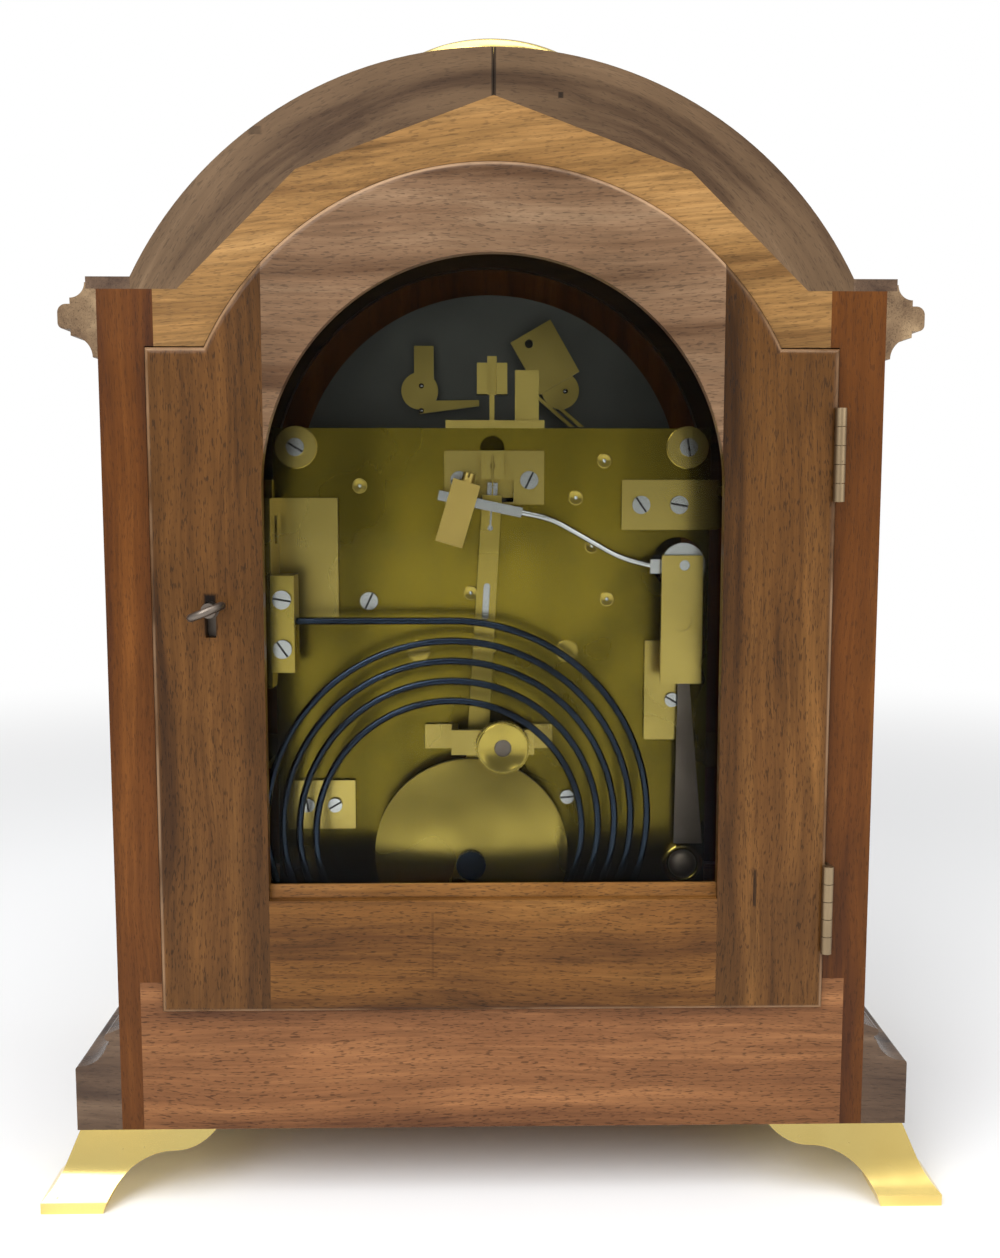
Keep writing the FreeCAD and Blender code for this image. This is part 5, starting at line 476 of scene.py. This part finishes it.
def slit(tree, place, centre, half_width, half_height, depth):
    """A dark upright mark on a rear face: depth inside the slit and 1 outside it."""
    across = step_between(tree, axis_distance(tree, place, "X", centre[0]), half_width * 0.5,
                          half_width)
    along = step_between(tree, axis_distance(tree, place, "Z", centre[1]), half_height * 0.8,
                         half_height)
    clear = maths(tree, "MAXIMUM", across, along)
    return maths(tree, "ADD", maths(tree, "MULTIPLY", clear, 1.0 - depth), depth)


def roof_marks(tree, place):
    """The open mitre at the crown, a dent, and painted shade in a small hole on the rear edge."""
    mitre = slit(tree, place, (0.0, 0.43), ROOF_MITRE, 0.2, 0.25)
    # Painted shade in a small hole
    hole_shade = slit(tree, place, ROOF_HOLE, 0.0012, 0.0012, 0.25)
    dent = slit(tree, place, ROOF_DENT, 0.003, 0.0016, 0.6)
    return maths(tree, "MULTIPLY", maths(tree, "MULTIPLY", mitre, hole_shade), dent)


def stile_marks(tree, place):
    """Dirt beside the opening, painted shade in the keyhole and a short crack low on one stile."""
    inner = step_between(tree, axis_distance(tree, place, "X", 0.0), *OPENING_GRIME)
    grime_and_keyhole_shade = maths(tree, "ADD", maths(tree, "MULTIPLY", inner, 0.28), 0.72)
    # Painted shade in the keyhole
    keyhole_shade = slit(tree, place, KEYHOLE, 0.0030, 0.0085, 0.06)
    grime_and_keyhole_shade = maths(tree, "MULTIPLY", grime_and_keyhole_shade, keyhole_shade)
    return maths(tree, "MULTIPLY", grime_and_keyhole_shade, slit(tree, place, STILE_CRACK, 0.0008, 0.0080, 0.3))


def painted_inside_shade(tree, place):
    """Painted shade: darker wood on the edges and faces inside the case."""
    depth = maths(tree, "ABSOLUTE", out(add(tree, "ShaderNodeSeparateXYZ", {0: place}), "Y"))
    outside = step_between(tree, depth, *CASE_INSIDE_SHADE)
    return maths(tree, "ADD", maths(tree, "MULTIPLY", outside, 0.86), 0.14)


def sill_marks(tree, place):
    """An upright scratch across the bottom rail."""
    return slit(tree, place, SILL_SCRATCH, 0.0006, 0.014, 0.8)


def plate_painted_light(tree, place):
    """Painted reflections as broad upright bands, and painted shade darker towards the bottom of
    the plates.
    """
    height = out(add(tree, "ShaderNodeSeparateXYZ", {0: place}), "Z")
    # Painted shade: darker towards the bottom
    painted_shade_fall = step_between(tree, height, *PLATE_SHADE_FALL)
    painted_shade_fall = maths(tree, "ADD", maths(tree, "MULTIPLY", painted_shade_fall, 0.42), 0.58)
    # Painted reflections: broad upright bands, lighter and darker
    bands = noise(tree, stretch(tree, place, (26.0, 26.0, 3.0)), 1.0, 2.0, 0.5)
    bands = maths(tree, "ADD", maths(tree, "MULTIPLY", step_between(tree, bands, 0.3, 0.7), 0.6),
                  0.62)
    return maths(tree, "MULTIPLY", painted_shade_fall, bands)


GRAIN_TURNS = {
    "across": (0.0, 0.0, 0.0),
    "arch": (0.0, 0.0, 0.0),
    "upright": (0.0, math.pi / 2, 0.0),
    "deep": (0.0, 0.0, math.pi / 2),
}


def wood(name, tone, direction, streaks, pores, figure, roughness=0.34, coat=0.04,
         shift=(0.0, 0.0, 0.0), lean=0.0, shade=None, wear=0.0):
    """A polished wood with its grain across, upright, deep or along the arch."""
    colours = settings("clock_wood")
    material, tree, shader, place = blank_material(name)
    # Real marks and, on some woods, painted shade
    marks_and_painted_light = shade(tree, place) if shade else 1.0
    # Wear and a painted highlight on the rounded edges
    rubbed_edge_and_highlight = maths(tree, "MULTIPLY", rounded_edges(tree), wear)
    if direction == "arch":
        place = out(place_group(tree, group_named("arch_coordinates", arch_group),
                                {"Coordinates": place}))
    turn = GRAIN_TURNS[direction]
    turn = (turn[0], turn[1] + lean, turn[2])
    place = stretch(tree, place, (1.0, 1.0, 1.0), turn, shift)
    grain = place_group(tree, group_named("wood_grain", wood_group), {
        "Coordinates": place, "Light": getattr(colours, f"{tone}_light"),
        "Middle": getattr(colours, f"{tone}_middle"), "Dark": getattr(colours, f"{tone}_dark"),
        "Streaks": streaks, "Pores": pores, "Figure": figure, "Roughness": roughness,
        "Shade": marks_and_painted_light, "Wear": rubbed_edge_and_highlight})
    tree.links.new(out(grain, "Color"), shader.inputs["Base Color"])
    tree.links.new(out(grain, "Roughness"), shader.inputs["Roughness"])
    tree.links.new(out(grain, "Normal"), shader.inputs["Normal"])
    shader.inputs["Coat Weight"].default_value = coat
    shader.inputs["Coat Roughness"].default_value = 0.18
    shader.inputs["Specular IOR Level"].default_value = 0.14
    return material


def metal(name, tone, tarnish, brushing, specks, roughness, shade=None, behind=None):
    """A worn metal, brushed along Z. Behind names its tone behind the dial's back."""
    colours = settings("clock_metal")
    material, tree, shader, place = blank_material(name)
    # On the plates these are painted shade and painted reflections
    marks_and_painted_light = shade(tree, place) if shade else 1.0
    bright = getattr(colours, f"{tone}_bright")
    dull = getattr(colours, f"{tone}_dull")
    if behind:
        depth = out(add(tree, "ShaderNodeSeparateXYZ", {0: place}), "Y")
        inside = step_between(tree, depth, DIAL_BACK - 0.0011, DIAL_BACK - 0.0009)
        bright = blend_colours(tree, inside, bright, getattr(colours, f"{behind}_bright"))
        dull = blend_colours(tree, inside, dull, getattr(colours, f"{behind}_dull"))
    worn = place_group(tree, group_named("worn_metal", metal_group), {
        "Coordinates": place, "Bright": bright, "Dull": dull, "Tarnish": tarnish,
        "Brushing": brushing, "Specks": specks, "Roughness": roughness, "Shade": marks_and_painted_light})
    tree.links.new(out(worn, "Color"), shader.inputs["Base Color"])
    tree.links.new(out(worn, "Roughness"), shader.inputs["Roughness"])
    tree.links.new(out(worn, "Normal"), shader.inputs["Normal"])
    shader.inputs["Metallic"].default_value = 1.0
    return material


def glass(name):
    """Clear glass with a faint green cast."""
    material, tree, shader, place = blank_material(name)
    smear = step_between(tree, noise(tree, place, 14.0, 5.0, 0.6), 0.5, 0.8)
    smear = maths(tree, "MULTIPLY", smear, 0.05)
    tree.links.new(smear, shader.inputs["Roughness"])
    shader.inputs["Base Color"].default_value = GLASS_TINT
    shader.inputs["Transmission Weight"].default_value = 1.0
    shader.inputs["IOR"].default_value = GLASS_IOR
    return material


def dress(names, material):
    """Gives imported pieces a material."""
    for name in names:
        mesh = nodes[name].data
        mesh.materials.clear()
        mesh.materials.append(material)


# ---------------------------------------------------------------- pieces and finishes

class CLOCK_OT_case_woods(bpy.types.Operator):
    """Dresses the case, roof, arch boards and mouldings"""
    bl_idname = "clock.case_woods"
    bl_label = "Case woods"

    def execute(self, context):
        dress(["case_side_left", "case_side_right"],
              wood("side_wood", "side", "upright", streaks=0.8, pores=0.3, figure=0.5, wear=0.35))
        dress(["case_rails"],
              wood("rail_wood", "rail", "across", streaks=1.2, pores=0.5, figure=0.3, wear=0.3))
        # The arch boards get painted shade on their parts inside the case
        dress(["rear_arch_board", "front_arch_board"],
              wood("arch_wood", "arch", "across", streaks=1.7, pores=0.3, figure=0.25,
                   lean=-0.10, wear=0.3, shade=painted_inside_shade))
        dress(["roof_half_left", "roof_half_right"],
              wood("roof_wood", "roof", "arch", streaks=0.45, pores=0.25, figure=0.5,
                   roughness=0.42, shade=roof_marks, wear=0.35))
        dress(["shoulder_caps"],
              wood("cap_wood", "base", "deep", streaks=0.5, pores=0.3, figure=0.4))
        dress(["cornices"],
              wood("cornice_wood", "end", "deep", streaks=0.5, pores=0.4, figure=0.4,
                   roughness=0.5))
        dress(["base_moulding"],
              wood("base_wood", "base", "across", streaks=0.4, pores=0.3, figure=0.4,
                   roughness=0.26, coat=0.12))
        dress(["floor_board"],
              wood("floor_wood", "arch", "across", streaks=0.5, pores=0.4, figure=0.3,
                   roughness=0.6, coat=0.0))
        return {"FINISHED"}


class CLOCK_OT_door_woods(bpy.types.Operator):
    """Dresses the stiles and rails of both doors"""
    bl_idname = "clock.door_woods"
    bl_label = "Door woods"

    def execute(self, context):
        for side, shift in (("left", (0.0, 0.4, 0.1)), ("right", (0.3, 0.0, 0.2))):
            dress([f"rear_door_stile_{side}"],
                  wood(f"stile_{side}_wood", "stile", "upright", streaks=1.2, pores=0.5,
                       figure=0.7, shift=shift, shade=stile_marks, wear=0.45))
        dress(["rear_door_arch_rail"],
              wood("arch_rail_wood", "crown", "across", streaks=1.0, pores=0.4, figure=0.7,
                   wear=0.6))
        dress(["rear_door_bottom_rail"],
              wood("bottom_rail_wood", "sill", "across", streaks=1.2, pores=0.5, figure=0.6,
                   shift=(0.2, 0.5, 0.0), shade=sill_marks, wear=0.4))
        dress(["front_door_frame"],
              wood("front_door_wood", "side", "upright", streaks=0.5, pores=0.4, figure=0.4))
        return {"FINISHED"}


# The nodes, material, tone, tarnish, brushing, specks, roughness and what else metal() is given
METAL_FINISHES = (
    (("feet", "carrying_handle", "handle_posts", "front_bezel"),
     "cast_brass", "cast", 0.75, 0.3, 0.6, 0.17, {}),
    (("case_hinges", "rear_door_hinges", "front_door_hinges"),
     "hinge_brass", "hinge", 0.7, 0.3, 0.5, 0.4, {}),
    # The plates carry painted shade and painted reflections
    (("backplate", "frontplate"),
     "plate_brass", "plate", 0.6, 0.1, 0.0, 0.2, {"shade": plate_painted_light}),
    (("dial_plate",), "dial_brass", "cast", 0.5, 0.1, 0.1, 0.4, {"behind": "black"}),
    (("back_cock", "hammer_bridge", "pillars", "plate_brackets", "case_brackets"),
     "cock_brass", "cock", 0.6, 0.1, 0.0, 0.22, {}),
    (("arch_levers",), "lever_brass", "cock", 0.8, 0.1, 0.0, 0.3, {}),
    (("pendulum_rod", "pendulum_bob", "holdfast_knob", "gong_block"),
     "turned_brass", "turned", 0.7, 0.1, 0.05, 0.26, {}),
    (("hammer_head",), "hammer_brass", "hammer", 0.8, 0.9, 0.9, 0.42, {}),
    (("centre_wheel", "third_wheel", "escape_wheel", "minute_wheel", "hour_wheel",
      "going_barrel", "strike_barrel"), "wheel_brass", "turned", 0.4, 0.3, 0.4, 0.3, {}),
    (("dial_rings",), "silvering", "silver", 0.5, 0.2, 0.3, 0.38, {}),
    (("plate_screws", "gong_hammer", "crutch"),
     "polished_steel", "steel", 0.4, 0.1, 0.1, 0.2, {}),
    (("hammer_spring", "rear_lock", "rear_lock_bolt", "rear_key"),
     "lock_steel", "lock", 0.9, 0.2, 0.5, 0.36, {}),
    (("gong", "minute_hand", "hour_hand"), "blued_steel", "blued", 0.7, 0.1, 0.2, 0.16, {}),
    (("strike_silent_hand", "regulation_hand"),
     "arch_hand_metal", "blued", 0.6, 0.3, 0.3, 0.3, {"behind": "cock"}),
    (("bob_screw",), "black_steel", "blued", 1.0, 0.2, 0.5, 0.4, {}),
)


class CLOCK_OT_metals(bpy.types.Operator):
    """Dresses the brass and steel pieces"""
    bl_idname = "clock.metals"
    bl_label = "Metals"

    def execute(self, context):
        for names, finish, tone, tarnish, brushing, specks, roughness, extra in METAL_FINISHES:
            dress(names, metal(finish, tone, tarnish, brushing, specks, roughness, **extra))
        return {"FINISHED"}


class CLOCK_OT_glass(bpy.types.Operator):
    """Dresses the two panes"""
    bl_idname = "clock.glass"
    bl_label = "Glass"

    def execute(self, context):
        dress(["rear_glass", "front_glass"], glass("clear_glass"))
        return {"FINISHED"}


# ---------------------------------------------------------------- small pieces

def mesh_piece(name, points, faces, material, smooth=True, body="case"):
    """A new object from points and faces, fixed to a body."""
    mesh = bpy.data.meshes.new(name)
    mesh.from_pydata(points, [], faces)
    mesh.shade_smooth() if smooth else mesh.shade_flat()
    mesh.materials.append(material)
    piece = bpy.data.objects.new(name, mesh)
    bpy.context.scene.collection.objects.link(piece)
    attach(piece, body)
    return piece


def turned_piece(name, centres, face_y, profile, material, sides=40, body="case"):
    """Turned forms on a rear face, one at each centre.

    A point of the profile is a radius and a height. It goes round the centre at even angles,
    as x + r cos a and z + r sin a, and a many-sided face closes each end.
    """
    angles = np.linspace(0.0, 2 * math.pi, sides, endpoint=False)
    radii, heights = np.array(profile).T
    rings = len(profile)
    index = np.arange(rings * sides).reshape(rings, sides)
    after = np.roll(index, -1, axis=1)
    walls = np.stack([index[:-1], index[1:], after[1:], after[:-1]], axis=-1).reshape(-1, 4)
    points, faces = [], []
    for number, (x, z) in enumerate(centres):
        ring = np.empty((rings, sides, 3))
        ring[..., 0] = x + radii[:, None] * np.cos(angles)
        ring[..., 1] = face_y + heights[:, None]
        ring[..., 2] = z + radii[:, None] * np.sin(angles)
        start = number * rings * sides
        points += ring.reshape(-1, 3).tolist()
        faces += (walls + start).tolist()
        faces.append((index[0] + start).tolist())
        faces.append((index[-1] + start).tolist()[::-1])
    return mesh_piece(name, points, faces, material, body=body)


def bars_piece(name, bars, face_y, thickness, material):
    """Flat strokes square to Y, which reach forwards from face_y by their thickness.

    A bar is two points of its middle line and its width at each. Its corners lie half a width
    to either side of the line, at its front and at its back.
    """
    bars = np.array(bars, float)
    start, end, widths = bars[:, 0:2], bars[:, 2:4], bars[:, 4:6]
    along = end - start
    along /= np.linalg.norm(along, axis=1, keepdims=True)
    side = np.stack([-along[:, 1], along[:, 0]], axis=1) / 2
    flat = np.stack([start - side * widths[:, :1], end - side * widths[:, 1:],
                     end + side * widths[:, 1:], start + side * widths[:, :1]], axis=1)
    points = np.empty((len(bars), 2, 4, 3))
    points[..., 0] = flat[:, None, :, 0]
    points[..., 2] = flat[:, None, :, 1]
    face_y = np.reshape(face_y, (-1, 1))
    points[:, 0, :, 1] = face_y - thickness
    points[:, 1, :, 1] = face_y
    box = np.array([(0, 1, 2, 3), (7, 6, 5, 4), (1, 0, 4, 5), (2, 1, 5, 6), (3, 2, 6, 7),
                    (0, 3, 7, 4)])
    faces = box[None] + 8 * np.arange(len(bars))[:, None, None]
    return mesh_piece(name, points.reshape(-1, 3).tolist(), faces.reshape(-1, 4).tolist(),
                      material, smooth=False)


NUMERALS = ("XII", "I", "II", "III", "IIII", "V", "VI", "VII", "VIII", "IX", "X", "XI")
# Each letter's width, and its strokes as two ends and a pen width in millimetres
STROKES = {
    "I": (0.0034, (((0.0, 0.0), (0.0, 1.0), 1.5),)),
    "V": (0.0072, (((-0.30, 1.0), (0.0, 0.0), 1.6), ((0.30, 1.0), (0.0, 0.0), 0.7))),
    "X": (0.0076, (((-0.30, 1.0), (0.30, 0.0), 1.6), ((0.30, 1.0), (-0.30, 0.0), 0.7))),
}


def numeral_bars(text, angle, low, high):
    """The strokes of one numeral, spread round its angle on the chapter ring."""
    widths = [STROKES[letter][0] for letter in text]
    across = -sum(widths) / 2
    outwards = np.array([math.sin(angle), math.cos(angle)])
    rightwards = np.array([math.cos(angle), -math.sin(angle)])
    centre = np.array([0.0, CENTRE_HEIGHT])
    bars = []
    for letter, width in zip(text, widths):
        middle = across + width / 2
        across += width
        for first, second, pen in STROKES[letter][1]:
            ends = [centre + outwards * (low + (high - low) * rise)
                    + rightwards * (middle + shift * (high - low))
                    for shift, rise in (first, second)]
            bars.append((*ends[0], *ends[1], pen / 1000, pen / 1000))
        if letter == "I":
            for rise in (low, high):
                foot = centre + outwards * rise + rightwards * middle
                bars.append((*(foot - rightwards * SERIF_REACH),
                             *(foot + rightwards * SERIF_REACH), SERIF_PEN, SERIF_PEN))
    return bars


def circle_bars(centre, radius, pen, count=180):
    """A thin painted circle as short strokes."""
    angles = np.linspace(0.0, 2 * math.pi, count + 1)
    points = np.stack([centre[0] + radius * np.sin(angles), centre[1] + radius * np.cos(angles)],
                      axis=1)
    pens = np.full((count, 2), pen)
    return np.hstack([points[:-1], points[1:], pens]).tolist()


def tick_bars(centre, inner, outer, pens, angles):
    """Straight ticks round a centre, each with its own width."""
    angles = np.array(angles)
    spokes = np.stack([np.sin(angles), np.cos(angles)], axis=1)
    pens = np.array(pens)[:, None] * np.ones((1, 2))
    return np.hstack([np.array(centre) + spokes * inner, np.array(centre) + spokes * outer,
                      pens]).tolist()


def paint(name, tone):
    """A thin worn paint, also used for the painted shade in the screw slots."""
    material, tree, shader, place = blank_material(name)
    level = noise(tree, place, 260.0, 3.0, 0.6)
    shade = blend_colours(tree, level, tone, tuple(part * 2.2 for part in tone))
    tree.links.new(shade, shader.inputs["Base Color"])
    tree.links.new(step_between(tree, level, 0.0, 1.6), shader.inputs["Roughness"])
    return material


class CLOCK_OT_dial_marks(bpy.types.Operator):
    """Paints the numerals, minute track and arch scales on the silvered rings"""
    bl_idname = "clock.dial_marks"
    bl_label = "Dial marks"

    def execute(self, context):
        centre = (0.0, CENTRE_HEIGHT)
        track_in = CHAPTER_OUTER - TRACK_INSET
        track_out = CHAPTER_OUTER - TRACK_MARGIN
        minutes = np.arange(60) * math.pi / 30
        pens = np.where(np.arange(60) % 5 == 0, HOUR_TICK, TICK)
        bars = circle_bars(centre, track_in, THIN_LINE) + circle_bars(centre, track_out, THIN_LINE)
        bars += circle_bars(centre, CHAPTER_INNER + INNER_LINE_INSET, THIN_LINE)
        bars += tick_bars(centre, track_in, track_out, pens, minutes)
        halves = (np.arange(12) + 0.5) * math.pi / 6
        low, high = HALF_HOUR_SPAN
        bars += tick_bars(centre, CHAPTER_INNER + low, CHAPTER_INNER + high,
                          np.full(12, HALF_HOUR_MARK), halves)
        for hour, text in enumerate(NUMERALS):
            bars += numeral_bars(text, hour * math.pi / 6, CHAPTER_INNER + NUMERAL_INSET,
                                 track_in - TRACK_MARGIN)
        side, height, inner, outer = ARCH_RING
        quarters = np.arange(24) * math.pi / 12
        pens = np.where(np.arange(24) % 6 == 0, QUARTER_TICK, TICK)
        for sign in (-1, 1):
            hub = (sign * side, height)
            bars += circle_bars(hub, outer - ARCH_LINE_INSET, THIN_LINE, 90)
            bars += circle_bars(hub, inner + ARCH_LINE_INSET, THIN_LINE, 90)
            bars += tick_bars(hub, inner + ARCH_TICK_INSET, outer - ARCH_TICK_INSET, pens,
                              quarters)
        bars_piece("dial_marks", bars, RING_FRONT, PAINT_THICKNESS,
                   paint("dial_paint", DIAL_PAINT))
        return {"FINISHED"}


class CLOCK_OT_plate_details(bpy.types.Operator):
    """Adds the turned details, lever pins, knob face and painted shade in the screw slots to the
    movement
    """
    bl_idname = "clock.plate_details"
    bl_label = "Plate details"

    def execute(self, context):
        brass = metal("sink_brass", "turned", 0.3, 0.2, 0.3, 0.16)
        steel = metal("pivot_steel", "steel", 0.3, 0.2, 0.2, 0.18)
        dark = metal("nut_steel", "lock", 1.0, 0.2, 0.9, 0.5)
        turned_piece("oil_sinks", OIL_SINKS, PLATE_REAR, OIL_SINK, brass)
        turned_piece("pivot_ends", OIL_SINKS, PLATE_REAR, PIVOT_END, steel, 24)
        turned_piece("winding_bushes", WINDING_BUSHES, PLATE_REAR, WINDING_BUSH, brass)
        turned_piece("corner_rings", CORNER_RINGS, PLATE_REAR, CORNER_RING, brass, 64)
        turned_piece("corner_nut_collar", CORNER_NUT, PLATE_REAR, NUT_COLLAR, brass, 64)
        turned_piece("corner_nut", CORNER_NUT, PLATE_REAR, NUT_DOME, dark, 48)
        turned_piece("right_lever_pins", RIGHT_LEVER_PINS, RIGHT_LEVER_REAR, LEVER_PIN, steel,
                     24, "regulation_hand")
        turned_piece("left_lever_pin", LEFT_LEVER_PINS, LEFT_LEVER_REAR, LEVER_PIN, steel,
                     24, "strike_silent_hand")
        # Dark bars at the bottom of the screw slots: painted shade
        x, z, top, radius, turn = SCREWS.T
        along = np.stack([np.sin(np.radians(turn)), np.cos(np.radians(turn))], axis=1)
        reach = along * (radius[:, None] * SLOT_REACH)
        centre = np.stack([x, z], axis=1)
        widths = np.full((len(SCREWS), 2), SLOT_WIDTH)
        bars_piece("screw_slots", np.hstack([centre - reach, centre + reach, widths]),
                   top - SLOT_DEPTH, SLOT_DEPTH, paint("slot_dirt", SLOT_SHADE))
        turned_piece("knob_ring", KNOB_FACE, KNOB_REAR, KNOB_RING, brass, 64, "holdfast")
        turned_piece("knob_centre", KNOB_FACE, KNOB_REAR, KNOB_CENTRE, dark, 32, "holdfast")
        return {"FINISHED"}


# ---------------------------------------------------------------- the stage

def flat_sheet(size):
    """A flat square at z = 0 round the origin."""
    half = size / 2
    corners = [(-half, -half, 0), (half, -half, 0), (half, half, 0), (-half, half, 0)]
    mesh = bpy.data.meshes.new("floor")
    mesh.from_pydata(corners, [], [(0, 1, 2, 3)])
    return mesh


def soft_lamp(name, power, size, place, aim):
    """A square area lamp that looks at a point."""
    lamp = bpy.data.lights.new(name, "AREA")
    lamp.energy = power
    lamp.size = size
    holder = bpy.data.objects.new(name, lamp)
    bpy.context.scene.collection.objects.link(holder)
    away = np.array(aim, float) - np.array(place, float)
    holder.location = place
    flat = math.hypot(away[0], away[1])
    holder.rotation_euler = Euler((math.atan2(flat, -away[2]), 0.0,
                                   math.atan2(-away[0], away[1])))


class CLOCK_OT_stage(bpy.types.Operator):
    """Sets the floor, the light and the camera"""
    bl_idname = "clock.stage"
    bl_label = "Stage"

    def execute(self, context):
        given = settings("clock_stage")
        scene = context.scene
        floor = bpy.data.objects.new("floor", flat_sheet(FLOOR_SIZE))
        scene.collection.objects.link(floor)
        material, tree, shader, place = blank_material("floor_paper")
        shader.inputs["Base Color"].default_value = (*given.floor_colour, 1.0)
        shader.inputs["Roughness"].default_value = 0.6
        far = out(add(tree, "ShaderNodeVectorMath", {0: place}, operation="LENGTH"), "Value")
        bare = add(tree, "ShaderNodeEmission", {"Color": WHITE, "Strength": 1.0})
        mix = add(tree, "ShaderNodeMixShader", {0: step_between(tree, far, *FLOOR_FADE),
                                                1: out(shader), 2: out(bare)})
        tree.links.new(out(mix), tree.nodes["Material Output"].inputs["Surface"])
        floor.data.materials.append(material)
        world = bpy.data.worlds.new("room")
        scene.world = world
        world.use_nodes = True
        tree = world.node_tree
        back = tree.nodes["Background"]
        path = add(tree, "ShaderNodeLightPath")
        level = given.world_level
        for ray, strength in (("Is Glossy Ray", given.mirror_level),
                              ("Is Transmission Ray", given.glass_level),
                              ("Is Camera Ray", 1.0)):
            level = out(add(tree, "ShaderNodeMix", {0: out(path, ray), 2: level, 3: strength},
                            data_type="FLOAT"))
        tree.links.new(level, back.inputs["Strength"])
        back.inputs["Color"].default_value = WHITE
        for name, size, place, aim in LAMPS:
            soft_lamp(f"{name}_lamp", getattr(given, f"{name}_power"), size, place, aim)
        eye = bpy.data.cameras.new("camera")
        eye.sensor_fit = "VERTICAL"
        eye.sensor_height = SENSOR_HEIGHT
        eye.lens = given.focal_length
        holder = bpy.data.objects.new("camera", eye)
        scene.collection.objects.link(holder)
        holder.location = (given.camera_side, given.camera_away, given.camera_up)
        holder.rotation_euler = Euler(CAMERA_TURN)
        scene.camera = holder
        scene.view_settings.view_transform = "Standard"
        return {"FINISHED"}


class CLOCK_PT_panel(bpy.types.Panel):
    """Lists the steps of the clock"""
    bl_label = "Bracket clock"
    bl_idname = "CLOCK_PT_panel"
    bl_space_type = "VIEW_3D"
    bl_region_type = "UI"
    bl_category = "Clock"

    def draw(self, context):
        for step in STEPS:
            self.layout.operator(step.bl_idname)


STEPS = (CLOCK_OT_case_woods, CLOCK_OT_door_woods, CLOCK_OT_metals, CLOCK_OT_glass,
         CLOCK_OT_dial_marks, CLOCK_OT_plate_details, CLOCK_OT_stage)
GROUPS = {"clock_wood": ClockWoodColours, "clock_metal": ClockMetalColours,
          "clock_stage": ClockStageSettings}
CLASSES = (*GROUPS.values(), *STEPS, CLOCK_PT_panel)


def register():
    """Makes the classes and settings known to Blender."""
    for item in CLASSES:
        bpy.utils.register_class(item)
    for name, group in GROUPS.items():
        setattr(bpy.types.Scene, name, PointerProperty(type=group))


def unregister():
    """Takes the classes and settings away again."""
    for name in GROUPS:
        delattr(bpy.types.Scene, name)
    for item in reversed(CLASSES):
        bpy.utils.unregister_class(item)


def main():
    """Runs every step in order."""
    register()
    for step in STEPS:
        area, name = step.bl_idname.split(".")
        getattr(getattr(bpy.ops, area), name)()


if __name__ == "__main__":
    main()
